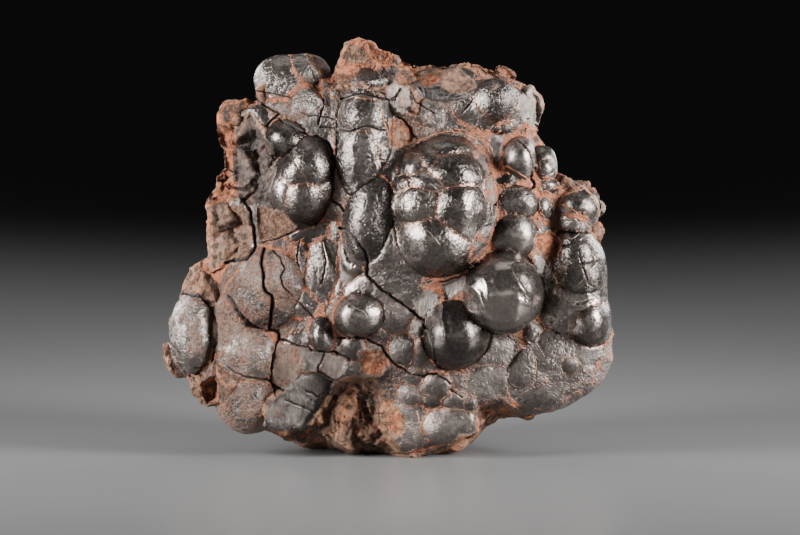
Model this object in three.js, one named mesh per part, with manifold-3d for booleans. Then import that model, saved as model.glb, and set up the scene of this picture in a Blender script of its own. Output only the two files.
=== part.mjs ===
// Botryoidal hematite, also called kidney ore: one lump of iron oxide that grew as a crowd of
// rounded kidneys on a broken matrix. Millimetres, +Z up, standing on its flat broken foot.
//
// The lump is modelled on its face: across (x), up the face (y) and out of it (z). The face is
// then stood up, looking along -Y, and leaned back by LEAN, and the foot is cut flat where it
// meets the ground. The origin is on the ground under the middle of the lump.
import * as THREE from 'three';
import { mergeVertices } from 'three/addons/utils/BufferGeometryUtils.js';
import Module from 'manifold-3d';

const wasm = await Module();
wasm.setup();

// Driving dimensions
const LEAN = 6;                // how far the face leans back, in degrees
const SET_FORWARD = 18.06;     // how far in front of the origin the foot of the face plane is
const SET_ASIDE = -0.15;       // and how far to the right
const BACK = -46;              // where the broken back lies, behind the face plane
const RIM_FRONT = -1;          // where the rim of the matrix ends at the front
const MIDDLE = 48;             // how far up the face the middle line of the lump is
const BACK_HALF_WIDTH = 44;    // the smaller outline that the back has
const BACK_TOP = 82;
const SQUARENESS = 2.6;        // 2 would make that outline an ellipse
const FLUTE_DEPTH = 0.025;     // broken flutes on the sides, as a share of the reach
const ROOT_END = -5;           // how far back the roots of the kidneys reach
const SMALLEST_CAP = 3.5;      // caps narrower or lower than these are left to the surface finish
const LOWEST_CAP = 1;
const CAP_FOOT = 3;            // how deep a cap is rooted in what it sits on
const PER_MM = 4;              // units of the sheet in a millimetre
const SHEET = [386, 460];      // the place on the sheet of the foot of the middle line
const WELD = 0.001;            // corners closer than this are one corner
const SLIVER = 0.1;            // edges shorter than this are taken out of the finished skin

// The outline of the matrix seen square on its face, clockwise from the upper left corner.
const OUTLINE = [
  [-42.2, 87], [-40.5, 89.8], [-36.5, 90], [-32.5, 90.8], [-31, 93], [-24, 98.5], [-17, 97],
  [-16.5, 92.5], [-12.8, 96.2], [-11.2, 100], [-10, 104], [-6.5, 105], [-3.8, 104.8], [-2, 102.5],
  [1.5, 102], [3.5, 100.5], [13.5, 100], [21, 100], [25.5, 99], [31, 97.5], [35.2, 96],
  [36.8, 93], [39.2, 89.2], [38.5, 84.5], [37.8, 82.5], [39, 79.5], [41, 75], [41.4, 72],
  [44.6, 68.2], [46, 69.8], [48.5, 70.8], [51, 69.8], [52.2, 68], [54.5, 65.2], [56, 63],
  [54.8, 61.2], [55.2, 56.8], [54.2, 54.2], [54, 49], [54.6, 43.5], [55, 39], [57, 33.8],
  [57.8, 31.8], [57, 29.2], [56.2, 25.5], [54.5, 22.2], [50.5, 18.2], [45.8, 15.8],
  [40, 11.4], [35, 9.8], [32.2, 12], [27.8, 12.2], [24.5, 11.5],
  [23.2, 6], [19.5, 4.2], [17.2, 2.2], [12.8, 1], [6.5, -0.5], [1, 0.5], [-3.5, 1.5],
  [-9, 2.8], [-12.5, 4.5], [-14.5, 7], [-19, 5.5], [-23.2, 5], [-28.5, 6.5], [-36.5, 9.5],
  [-40, 12], [-41.5, 14], [-46.5, 13], [-48.8, 15], [-50, 19.2], [-55, 20], [-57.2, 22.8],
  [-57.5, 26.5], [-56.2, 30.5], [-54.5, 35.5], [-51.5, 41], [-50.2, 45.5], [-49.5, 47.5],
  [-43.5, 50.5], [-44.2, 55], [-44.2, 60], [-44.8, 63.8], [-42, 67.8], [-42.2, 71.2],
  [-40.2, 73], [-40.2, 77.5], [-42.5, 83.2],
];

// Broad low swells of the matrix that the kidneys sit on. Each row is across, up, half width,
// half height, turn in degrees, depth of its middle and rise above that.
const SWELLS = [
  [8, 60, 30, 34, 0, -4, 13],
  [34, 50, 20, 32, 0, -8, 13],
  [-34, 34, 22, 26, 0, -10, 13],
  [-24, 76, 18, 20, 0, -6, 11],
  [36, 27, 20, 14, 0, -10, 13],
  [2, 26, 22, 20, 0, -8, 12.5],
  [20, 88, 19, 12, 0, -8, 11],
];

// Lobes and caps are placed on a sheet laid over the face: x to the right and y down, in quarter
// millimetres. Each lobe is x, y, half width, half height, turn in degrees, then the depth of its
// middle and its rise above that in millimetres.
const LOBES = {
  egg: [
    [443, 209, 55, 70, 0, 7.5, 11.5],
  ],
  longLobe: [
    [364, 140, 27, 72, -2, 6, 7],
    [372, 220, 27, 48, -10, 8, 6.5],
  ],
  ball: [
    [503, 293, 40, 41, 0, 9.5, 10.6],
  ],
  underBall: [
    [456, 334, 33, 34, 0, 7.5, 8.8],
  ],
  rightString: [
    [519, 160, 16, 22, 0, 7, 4.4],
    [543, 165, 13, 18, 0, 3, 4.4],
    [515, 204, 21, 17, 0, 8.6, 3.4],
    [513, 236, 23, 21, 0, 9, 4.6],
  ],
  rightCrown: [
    [578, 210, 23, 23, 10, 2.5, 6.4],
  ],
  rightColumn: [
    [577, 270, 27, 43, 0, 1, 9],
    [579, 312, 24, 31, 0, 0.5, 8],
  ],
  apron: [
    [546, 362, 68, 50, 15, -3, 8.5],
  ],
  middleLeft: [
    [360, 316, 24, 21, 0, 7, 6],
    [322, 335, 11, 17, 0, 4.5, 4.2],
  ],
  lowerLeft: [
    [265, 287, 44, 46, -8, -1, 9],
    [232, 330, 21, 40, 0, -1, 6],
    [246, 398, 33, 37, 0, -5, 8],
    [250, 354, 30, 29, 0, 0.5, 6],
    [192, 334, 24, 42, -6, -3.5, 8],
  ],
  upperLeft: [
    [305, 182, 32, 46, -12, 3.5, 8.5],
    [287, 139, 22, 18, 0, 3.5, 5.5],
    [285, 85, 32, 31, 30, -4, 7],
    [303, 73, 27, 20, 5, -5, 6.6],
  ],
  peak: [
    [358, 66, 20, 26, -20, -2, 6],
  ],
  upperRight: [
    [495, 100, 20, 21, 0, 5.5, 4.6],
    [486, 110, 45, 29, 0, 1.5, 6.2],
    [445, 88, 40, 20, 4, -2, 6.5],
  ],
};

// The caps: lower kidneys that have grown on the lobes and between them. Each is x, y, half
// width, half height, turn and how many millimetres it stands up.
const CAPS = {
  egg: [
    [461, 210, 26, 31, 0, 1.9], [412, 206, 25, 18, 0, 1.6], [431, 249, 38, 30, 0, 2.7],
    [457, 172, 30, 20, -8, 1.7], [449, 146, 26, 13, 0, 1], [411, 165, 13, 13, 0, 1.1],
  ],
  longLobe: [
    [371, 86, 23, 16, 0, 1.6], [364, 114, 27, 19, 0, 1.3], [361, 165, 27, 42, 0, 1],
    [370, 217, 24, 44, -12, 0.7],
  ],
  dullPlates: [
    [396, 282, 34, 30, 0, 0.8], [397, 317, 17, 19, 0, 0.9], [417, 330, 12, 13, 0, 1],
    [404, 348, 16, 18, 20, 1.3], [372, 372, 18, 12, 0, 0.8],
  ],
  right: [
    [546, 207, 10, 15, 10, 1.2], [572, 228, 19, 19, 0, 1.5], [579, 207, 22, 18, 10, 1.2],
    [533, 335, 10, 14, 0, 1.3], [521, 369, 15, 20, -10, 0.9],
  ],
  foot: [
    [435, 388, 18, 14, 10, 1.3], [408, 397, 14, 13, 0, 1.1], [451, 427, 30, 19, 0, 2.2],
  ],
  middleLeft: [
    [352, 350, 18, 14, 0, 1.3], [353, 257, 13, 26, -15, 1], [316, 262, 13, 28, -8, 1.6],
    [306, 302, 14, 16, 0, 0.9],
  ],
  upperLeft: [
    [313, 160, 24, 26, 0, 1.5], [296, 172, 18, 17, 0, 1], [303, 206, 22, 24, 0, 1.4],
    [279, 196, 14, 21, 0, 1.2], [315, 115, 25, 27, 0, 1.1],
  ],
};

// Broken blocks of the left rim: middle across, up and out, then width, height and depth, then
// turns about those three axes in degrees.
const RIM_BLOCKS = [
  [-36.5, 83.5, 1, 9, 9, 10, 20, 25, 12],
  [-32, 86, 2.5, 8, 6.5, 8, -15, 20, -25],
  [-36.5, 74.5, 1.5, 6.5, 12, 9, 12, -28, 8],
  [-33.5, 70.5, 4, 7, 9, 7, 25, 15, -14],
  [-38.5, 59.5, 1, 9, 12, 9, -18, 22, 10],
  [-34.5, 62, 3.5, 7, 8, 7, 20, -20, 30],
];

const solidOf = (geometry) => {
  geometry.deleteAttribute('normal');
  geometry.deleteAttribute('uv');
  const welded = mergeVertices(geometry, WELD);
  const mesh = new wasm.Mesh({
    numProp: 3,
    vertProperties: new Float32Array(welded.attributes.position.array),
    triVerts: new Uint32Array(welded.index.array),
  });
  return new wasm.Manifold(mesh);
};

// A kidney: a dome in front of its middle and a longer root behind it, which reaches into the
// matrix. Big ones get more facets than small ones.
const kidney = ([across, up, halfWidth, halfHeight, turn, depth, rise]) => {
  const size = Math.max(halfWidth, halfHeight);
  const detail = size > 6.2 ? 2 : 1;
  const root = Math.max(rise, depth - ROOT_END);
  const shape = new THREE.IcosahedronGeometry(1, detail);
  const corners = shape.attributes.position;
  for (let i = 0; i < corners.count; i += 1) {
    const out = corners.getZ(i);
    corners.setZ(i, out * (out > 0 ? rise : root));
  }
  shape.scale(halfWidth, halfHeight, 1);
  shape.rotateZ(THREE.MathUtils.degToRad(turn));
  shape.translate(across, up, depth);
  return solidOf(shape);
};

const rimBlock = ([across, up, out, width, height, depth, tip, swing, roll]) => {
  const shape = new THREE.BoxGeometry(width, height, depth);
  const turns = [tip, swing, roll].map(THREE.MathUtils.degToRad);
  shape.applyMatrix4(new THREE.Matrix4().makeRotationFromEuler(new THREE.Euler(...turns)));
  shape.translate(across, up, out);
  return solidOf(shape);
};

// How far the back of the matrix reaches from its middle line at this angle: a rounded square
// that keeps the width of the foot.
const backReach = (angle) => {
  const halfHeight = Math.sin(angle) > 0 ? BACK_TOP - MIDDLE : MIDDLE;
  const across = Math.abs(Math.cos(angle) / BACK_HALF_WIDTH) ** SQUARENESS;
  const up = Math.abs(Math.sin(angle) / halfHeight) ** SQUARENESS;
  return (across + up) ** (-1 / SQUARENESS);
};

// The matrix: the outline run back from the face, where its notches fade and it turns into the
// smaller rounded outline of the back, with broken flutes down its sides.
const matrixSlab = () => {
  const steps = 4;
  const flutes = 11;
  const outline = new THREE.Shape(OUTLINE.map(([across, up]) => new THREE.Vector2(across, up)));
  const slab = new THREE.ExtrudeGeometry(outline, {
    depth: RIM_FRONT - BACK, steps, bevelEnabled: false,
  });
  const corners = slab.attributes.position;
  for (let i = 0; i < corners.count; i += 1) {
    const across = corners.getX(i);
    const up = corners.getY(i) - MIDDLE;
    const back = 1 - corners.getZ(i) / (RIM_FRONT - BACK);
    const angle = Math.atan2(up, across);
    const fluted = 1 + FLUTE_DEPTH * Math.sin(flutes * angle + 4 * back) * back;
    const reach = Math.hypot(across, up);
    const drawn = THREE.MathUtils.lerp(reach, backReach(angle), back ** 0.8) * fluted;
    corners.setX(i, across * drawn / reach);
    corners.setY(i, MIDDLE + up * drawn / reach);
    corners.setZ(i, corners.getZ(i) + BACK);
  }
  return solidOf(slab);
};

// A rough ball with flat broken facets, which rounds off the back of the matrix.
const brokenBack = () => {
  const ball = new THREE.IcosahedronGeometry(1, 5);
  const corners = ball.attributes.position;
  const corner = new THREE.Vector3();
  for (let i = 0; i < corners.count; i += 1) {
    corner.fromBufferAttribute(corners, i);
    const bumps = Math.sin(7 * corner.x + 2) * Math.sin(6 * corner.y) * Math.sin(8 * corner.z + 1);
    const chips = Math.sin(17 * corner.x + 9 * corner.z) * Math.sin(15 * corner.y + 4);
    corner.multiplyScalar(1 + 0.045 * bumps + 0.022 * chips);
    corners.setXYZ(i, corner.x, corner.y, corner.z);
  }
  ball.scale(64, 72, 38);
  ball.translate(0, MIDDLE - 3, -9);
  return solidOf(ball);
};

// Hollows broken out of the lump: the rusty pocket over the foot and the notch at the lower left.
const hollows = () => [
  kidney([-7, 9, 11, 9, 20, 6, 9]),
  kidney([-45.5, 13.5, 3.2, 6, 20, 2, 5]),
];

// Everything under the flat foot.
const ground = () => {
  const block = new THREE.BoxGeometry(200, 200, 40);
  block.translate(0, 0, -20);
  return solidOf(block);
};

// Across and up on the face, in millimetres, and half sizes to match, from a row on the sheet.
const fromSheet = ([x, y, halfWidth, halfHeight, ...rest]) => [
  (x - SHEET[0]) / PER_MM, (SHEET[1] - y) / PER_MM, halfWidth / PER_MM, halfHeight / PER_MM, ...rest,
];
const lobes = [...SWELLS, ...Object.values(LOBES).flat().map(fromSheet)];

// How far out of the face the outermost lobe over a place reaches.
const levelAt = (across, up) => Math.max(...lobes.map((row) => {
  const [middle, height, halfWidth, halfHeight, turn, depth, rise] = row;
  const place = new THREE.Vector2(across - middle, up - height);
  place.rotateAround(new THREE.Vector2(), -THREE.MathUtils.degToRad(turn));
  const inside = 1 - (place.x / halfWidth) ** 2 - (place.y / halfHeight) ** 2;
  return inside > 0 ? depth + rise * Math.sqrt(inside) : RIM_FRONT;
}));

// A cap as a kidney that is rooted in the lobe under it.
const cap = ([across, up, halfWidth, halfHeight, turn, stand]) => kidney([
  across, up, halfWidth, halfHeight, turn, levelAt(across, up) - CAP_FOOT, CAP_FOOT + stand,
]);
const bigEnough = ([, , halfWidth, halfHeight, , stand]) => (
  Math.min(halfWidth, halfHeight) >= SMALLEST_CAP && stand >= LOWEST_CAP);
const caps = Object.values(CAPS).flat().map(fromSheet).filter(bigEnough);

const matrix = matrixSlab().intersect(brokenBack());
const grown = [...lobes.map(kidney), ...caps.map(cap), ...RIM_BLOCKS.map(rimBlock)];
const whole = wasm.Manifold.union([matrix, ...grown]);
const broken = wasm.Manifold.difference([whole, ...hollows()]);
const upright = broken.rotate([90 - LEAN, 0, 0]).translate([SET_ASIDE, -SET_FORWARD, 0]);
const standing = upright.subtract(ground());

// Only the outer skin is kept, so small hollows sealed in between the kidneys are solid.
const larger = (one, other) => (one.volume() > other.volume() ? one : other);
const lump = standing.simplify(SLIVER).decompose().reduce(larger);

const { vertProperties, triVerts } = lump.getMesh();
const surface = new THREE.BufferGeometry();
surface.setAttribute('position', new THREE.BufferAttribute(vertProperties, 3));
surface.setIndex(new THREE.BufferAttribute(triVerts, 1));
surface.computeVertexNormals();

const specimen = new THREE.Mesh(surface, new THREE.MeshStandardMaterial({
  color: 0x6b5a52, roughness: 0.38, metalness: 0.7,
}));
specimen.name = 'hematite_specimen';
specimen.userData.material = 'hematite';

const group = new THREE.Group();
group.add(specimen);

export default group;
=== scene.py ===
import math

import bpy
import numpy as np
from mathutils import Matrix, Vector


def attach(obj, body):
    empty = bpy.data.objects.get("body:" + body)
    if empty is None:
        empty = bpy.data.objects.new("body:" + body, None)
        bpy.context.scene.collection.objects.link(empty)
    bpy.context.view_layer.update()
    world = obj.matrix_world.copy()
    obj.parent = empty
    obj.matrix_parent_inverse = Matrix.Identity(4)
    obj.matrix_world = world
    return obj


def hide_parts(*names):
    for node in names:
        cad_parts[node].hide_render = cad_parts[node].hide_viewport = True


bl_info = {
    "name": "Botryoidal hematite",
    "version": (1, 0, 0),
    "blender": (4, 5, 0),
    "location": "View3D > Sidebar > Hematite",
    "description": "Builds a lump of kidney ore, its finish and a studio stage around it",
    "category": "Add Mesh",
}

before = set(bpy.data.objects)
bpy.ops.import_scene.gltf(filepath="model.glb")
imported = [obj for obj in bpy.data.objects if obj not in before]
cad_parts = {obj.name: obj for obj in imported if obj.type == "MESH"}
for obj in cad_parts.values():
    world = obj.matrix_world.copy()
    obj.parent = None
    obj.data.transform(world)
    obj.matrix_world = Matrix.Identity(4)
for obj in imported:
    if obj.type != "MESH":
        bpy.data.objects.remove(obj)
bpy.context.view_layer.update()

NODE = "hematite_specimen"
MM = 0.001

# ---- The lump, on its face: across, up the face and out of it, in millimetres ----

# The outline of the matrix seen square on its face, clockwise from the upper left corner.
OUTLINE = [
    (-42.2, 87), (-40.5, 89.8), (-36.5, 90), (-32.5, 90.8), (-31, 93), (-24, 98.5), (-17, 97),
    (-16.5, 92.5), (-12.8, 96.2), (-11.2, 100), (-10, 104), (-6.5, 105), (-3.8, 104.8),
    (-2, 102.5), (1.5, 102), (3.5, 100.5), (13.5, 100), (21, 100), (25.5, 99), (31, 97.5),
    (35.2, 96), (36.8, 93), (39.2, 89.2), (38.5, 84.5), (37.8, 82.5), (39, 79.5), (41, 75),
    (41.4, 72), (44.6, 68.2), (46, 69.8), (48.5, 70.8), (51, 69.8),
    (52.2, 68), (54.5, 65.2), (56, 63), (54.8, 61.2), (55.2, 56.8), (54.2, 54.2), (54, 49),
    (54.6, 43.5), (55, 39), (57, 33.8), (57.8, 31.8), (57, 29.2), (56.2, 25.5), (54.5, 22.2),
    (50.5, 18.2), (45.8, 15.8), (40, 11.4), (35, 9.8), (32.2, 12),
    (27.8, 12.2), (24.5, 11.5), (23.2, 6), (19.5, 4.2), (17.2, 2.2), (12.8, 1), (6.5, -0.5),
    (1, 0.5), (-3.5, 1.5), (-9, 2.8), (-12.5, 4.5), (-14.5, 7), (-19, 5.5), (-23.2, 5),
    (-28.5, 6.5), (-36.5, 9.5), (-40, 12), (-41.5, 14), (-46.5, 13), (-48.8, 15), (-50, 19.2),
    (-55, 20), (-57.2, 22.8), (-57.5, 26.5), (-56.2, 30.5), (-54.5, 35.5), (-51.5, 41),
    (-50.2, 45.5), (-49.5, 47.5), (-43.5, 50.5), (-44.2, 55), (-44.2, 60), (-44.8, 63.8),
    (-42, 67.8), (-42.2, 71.2), (-40.2, 73), (-40.2, 77.5), (-42.5, 83.2),
]

# How far out of the face plane the skin between the kidneys lies. Rows are across, up, out.
SKIN = [
    (-8, 101, 0), (-9, 88, 7), (-8, 74, 9), (12, 98, -2), (30, 96, -2), (2, 88, 5), (13, 88, 6),
    (25, 88, 6), (34, 86, 2), (1, 80, 6), (12, 80, 7), (26, 79, 6), (36, 78, 3),
    (-28, 96, 0), (-27, 86, 4), (-18, 84, 6), (-38, 87, -2), (-40, 74, -2), (-33, 80, 1),
    (-25, 69, 8), (-16, 68, 7), (-32, 62, 3), (-42, 58, -1), (-23, 57, 5),
    (10, 62, 11), (-4, 60, 11), (0, 67, 12), (-2, 50, 11), (8, 44, 9), (25, 66, 11), (25, 55, 11),
    (-14, 58, 5), (-14, 48, 5), (-22, 46, 4), (-19, 38, 4), (-10, 36, 7), (0, 38, 8),
    (-36, 46, 4), (-29, 38, 3), (-42, 34, 1), (-47, 44, -3), (-53, 32, -5), (-56, 24, -8),
    (-39, 24, 2), (-27, 26, 4), (-38, 13, -2), (-27, 12, -3), (-14, 26, 5), (-5, 24, 5),
    (-16, 14, -4), (-6, 13, -5), (-8, 4, -5), (4, 16, 3), (3, 6, 0), (14, 8, 1), (6, 28, 7),
    (31, 66, 11), (30, 56, 11.5), (37, 63, 9), (38, 54, 8.5), (36, 72, 7.5), (32, 76, 8),
    (45, 62, 3), (51, 58, -4), (2, 60, 13), (3, 52, 12.5), (1, 70, 12), (14, 44, 10.5),
    (25, 42, 10), (16, 32, 9), (36, 44, 6), (44, 46, 3), (52, 44, -5), (45, 35, 3),
    (39, 26, 4), (52, 32, -2), (48, 20, -2), (26, 26, 5), (24, 17, 3), (34, 15, 1), (19, 20, 5),
]

# Everything below is placed on a sheet laid over the face: x to the right and y down, in quarter
# millimetres. SHEET is the place on it of the middle line's foot. Finishes are shine, dust, rust
# and how coarse the skin is, each from 0 to about 1.
SHEET = (386, 460)
PER_MM = 4

# The lobes, which stand out whole. Rows are x, y, half width, half height, turn in degrees,
# depth of the middle and rise above that, the last two in millimetres.
LOBES = {
    "egg": ((1.0, 0.0, 0.15, 0.35), [
        (443, 209, 55, 70, 0, 7.5, 11.5),
    ]),
    "long lobe": ((0.85, 0.1, 0.1, 0.6), [
        (364, 140, 27, 72, -2, 6, 7),
        (372, 220, 27, 48, -10, 8, 6.5),
    ]),
    "ball": ((1.15, 0.0, 0.0, 0.05), [
        (503, 293, 40, 41, 0, 9.5, 10.6),
    ]),
    "under ball": ((0.85, 0.15, 0.1, 0.15), [
        (456, 334, 33, 34, 0, 7.5, 8.8),
    ]),
    "right string": ((0.75, 0.25, 0.35, 0.3), [
        (519, 160, 16, 22, 0, 7, 4.4),
        (543, 165, 13, 18, 0, 3, 4.4),
        (515, 204, 21, 17, 0, 8.6, 3.4),
        (513, 236, 23, 21, 0, 9, 4.6),
    ]),
    "right crown": ((0.9, 0.1, 0.6, 0.3), [
        (578, 210, 23, 23, 10, 2.5, 6.4),
    ]),
    "right column": ((0.9, 0.05, 0.15, 0.3), [
        (578, 266, 29, 36, 0, 1, 9),
        (574, 300, 36, 46, 0, -1, 9),
        (590, 322, 22, 26, 0, 1, 7.6),
        (559, 290, 34, 56, 8, -1, 7.6),
        (573, 243, 20, 18, 0, 2, 6.4),
    ]),
    "apron": ((0.5, 0.45, 0.45, 0.6), [
        (546, 362, 68, 50, 15, -3, 8.0),
    ]),
    "middle left": ((0.9, 0.1, 0.3, 0.25), [
        (360, 316, 24, 21, 0, 7, 6),
        (322, 335, 11, 17, 0, 4.5, 4.2),
    ]),
    "lower left": ((0.35, 0.75, 0.55, 1.0), [
        (265, 287, 44, 46, -8, -1, 9),
        (232, 330, 21, 40, 0, -1, 6),
        (246, 398, 33, 37, 0, -5, 8),
    ]),
    "left domes": ((0.45, 0.6, 0.5, 0.8), [
        (250, 354, 30, 29, 0, 0.5, 6.0),
    ]),
    "far left": ((0.6, 0.55, 0.2, 0.6), [
        (192, 334, 24, 42, -6, -3.5, 8),
    ]),
    "upper left": ((0.9, 0.1, 0.12, 0.3), [
        (305, 182, 32, 46, -12, 3.5, 8.5),
        (287, 139, 22, 18, 0, 3.5, 5.5),
    ]),
    "brown dome": ((0.8, 0.4, 0.5, 0.7), [
        (283, 86, 28, 33, 36, -4, 7),
        (303, 73, 27, 20, 5, -5, 6.6),
    ]),
    "upper right": ((0.7, 0.4, 0.25, 0.5), [
        (495, 100, 20, 21, 0, 5.5, 4.6),
        (486, 110, 45, 29, 0, 1.5, 6.2),
        (445, 88, 40, 20, 4, -2, 6.5),
    ]),
}

# The caps: low domes on the lobes and on the skin. Rows are x, y, half width, half height, turn
# and how many millimetres the cap stands up.
CAPS = {
    "egg caps": ((1.0, 0.0, 0.15, 0.4), [
        (461, 210, 26, 31, 0, 1.9), (412, 206, 25, 18, 0, 1.6), (431, 249, 38, 30, 0, 2.7),
        (457, 172, 30, 20, -8, 1.7), (449, 146, 26, 13, 0, 1.0), (411, 165, 13, 13, 0, 1.1),
        (427, 158, 13, 13, 0, 0.8), (426, 183, 19, 9, -8, 0.9), (402, 184, 11, 9, 0, 0.8),
    ]),
    "ledge": ((0.4, 0.45, 0.9, 0.5), [
        (482, 160, 12, 17, 0, 0.5), (492, 190, 8, 16, 0, 0.4), (479, 246, 8, 22, -35, 0.4),
        (432, 282, 30, 8, 12, 0.6),
    ]),
    "long lobe caps": ((0.85, 0.1, 0.1, 0.6), [
        (371, 86, 23, 16, 0, 1.6), (364, 114, 27, 19, 0, 1.3), (361, 165, 27, 42, 0, 1.0),
        (370, 217, 24, 44, -12, 0.7), (386, 158, 9, 16, 0, 0.9),
    ]),
    "dull plates": ((0.5, 0.3, 0.15, 0.7), [
        (396, 282, 34, 30, 0, 0.8), (397, 317, 17, 19, 0, 0.9), (417, 330, 12, 13, 0, 1.0),
        (404, 348, 16, 18, 20, 1.3), (419, 350, 11, 20, 0, 1.0), (372, 372, 18, 12, 0, 0.8),
        (350, 372, 20, 14, 0, 0.6),
    ]),
    "right caps": ((0.75, 0.2, 0.7, 0.3), [
        (509, 181, 14, 9, 10, 1.0), (546, 207, 10, 15, 10, 1.2), (534, 262, 10, 16, 0, 0.8),
        (548, 186, 12, 9, 30, 0.8), (572, 228, 19, 19, 0, 1.5), (579, 207, 22, 18, 10, 1.2),
        (505, 130, 14, 9, 20, 0.8), (546, 170, 9, 12, 0, 0.8),
    ]),
    "column caps": ((0.9, 0.05, 0.15, 0.3), [
        (572, 254, 24, 20, 0, 0.7), (580, 286, 22, 28, 0, 0.5), (590, 318, 12, 13, 0, 0.4),
    ]),
    "apron caps": ((0.5, 0.35, 0.3, 0.4), [
        (533, 335, 10, 14, 0, 1.3), (521, 369, 15, 20, -10, 0.9), (570, 366, 10, 9, 0, 0.5),
        (492, 350, 22, 18, 20, 0.7), (487, 382, 24, 16, 20, 0.7), (545, 398, 30, 14, 15, 0.6),
        (470, 404, 10, 9, 0, 0.7), (552, 340, 14, 18, 0, 0.5), (590, 352, 18, 14, 30, 0.5),
    ]),
    "foot caps": ((0.6, 0.35, 0.3, 0.3), [
        (435, 388, 18, 14, 10, 1.3), (408, 397, 14, 13, 0, 1.1), (451, 427, 30, 19, 0, 2.2),
        (430, 400, 12, 10, 0, 0.8), (456, 402, 14, 11, 0, 0.9),
    ]),
    "middle left caps": ((0.75, 0.2, 0.3, 0.3), [
        (362, 288, 20, 12, 0, 0.6), (352, 350, 18, 14, 0, 1.3),
        (352, 260, 14, 31, -15, 1.3),
    ]),
    "folds": ((0.75, 0.2, 0.5, 0.6), [
        (323, 268, 20, 37, -8, 2.2), (339, 286, 7, 20, -20, 0.8), (301, 262, 7, 24, 0, 0.8),
        (306, 302, 14, 16, 0, 0.9), (312, 234, 22, 11, 8, 1.0), (300, 226, 14, 9, 0, 0.7),
        (334, 235, 8, 14, 0, 0.8),
    ]),
    "lower left caps": ((0.4, 0.7, 0.5, 1.0), [
        (245, 283, 22, 34, -15, 0.6), (292, 270, 18, 32, 8, 0.7), (252, 314, 24, 18, 0, 0.6),
        (285, 318, 16, 18, 0, 0.7), (244, 345, 22, 20, 0, 0.5), (247, 398, 26, 28, 0, 0.5),
        (200, 290, 16, 18, 0, 0.7),
    ]),
    "upper left caps": ((0.9, 0.1, 0.08, 0.3), [
        (313, 160, 24, 26, 0, 1.5), (296, 172, 18, 17, 0, 1.0), (303, 206, 22, 24, 0, 1.4),
        (279, 196, 14, 21, 0, 1.2), (284, 141, 18, 15, 0, 0.6),
    ]),
    "light plates": ((0.55, 0.5, 0.2, 0.7), [
        (315, 115, 25, 27, 0, 1.1), (334, 112, 9, 24, 0, 0.6), (398, 100, 12, 14, 0, 0.5),
        (390, 256, 22, 32, -12, 0.9),
    ]),
}

# Single broken stones that stand out of the face. Rows are x, y, depth of the middle, then the
# size across, up and out in millimetres, and the turns in degrees about the same three lines.
CRAGS = [
    ((0.25, 0.55, 0.8, 0.9), [
        (351, 60, -3, (12, 17, 15), (10, -18, 12)), (368, 57, -3.5, (12, 14, 15), (14, 16, -8)),
        (357, 80, -2, (15, 12, 14), (-14, -6, 30)), (389, 65, -3.5, (12, 10, 14), (8, 14, 20)),
    ]),
    ((0.15, 0.4, 0.7, 1.0), [
        (229, 112, -5, (16, 15, 15), (-12, 14, 20)), (222, 142, -6, (12, 14, 13), (8, 20, -10)),
        (216, 190, -5, (11, 14, 13), (-10, 18, 5)), (212, 268, -6, (11, 13, 13), (10, 12, 30)),
        (604, 198, -5.5, (7, 8, 11), (10, -15, 20)), (603, 231, -5, (7, 10, 12), (-8, -20, -10)),
        (470, 62, -6.5, (15, 7, 13), (-20, 5, 10)), (512, 64, -6.5, (13, 7, 13), (-20, -8, -15)),
    ]),
    ((0.6, 0.35, 0.35, 0.6), [
        (247, 130, -1, (9, 11, 11), (10, -20, 35)), (263, 137, 1.5, (6, 9, 10), (0, 25, -15)),
        (242, 160, -0.5, (11, 11, 13), (20, -10, 10)), (253, 180, 1, (10, 11, 12), (-15, 15, 40)),
        (538, 106, -3, (8, 13, 13), (5, -22, 8)), (268, 158, 2, (7, 9, 10), (-6, 18, -30)),
    ]),
    ((0.3, 0.45, 0.6, 1.0), [
        (228, 219, -2, (15, 13, 13), (10, 10, 10)), (231, 247, -1.5, (14, 12, 13), (-12, -14, 40)),
    ]),
]

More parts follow.
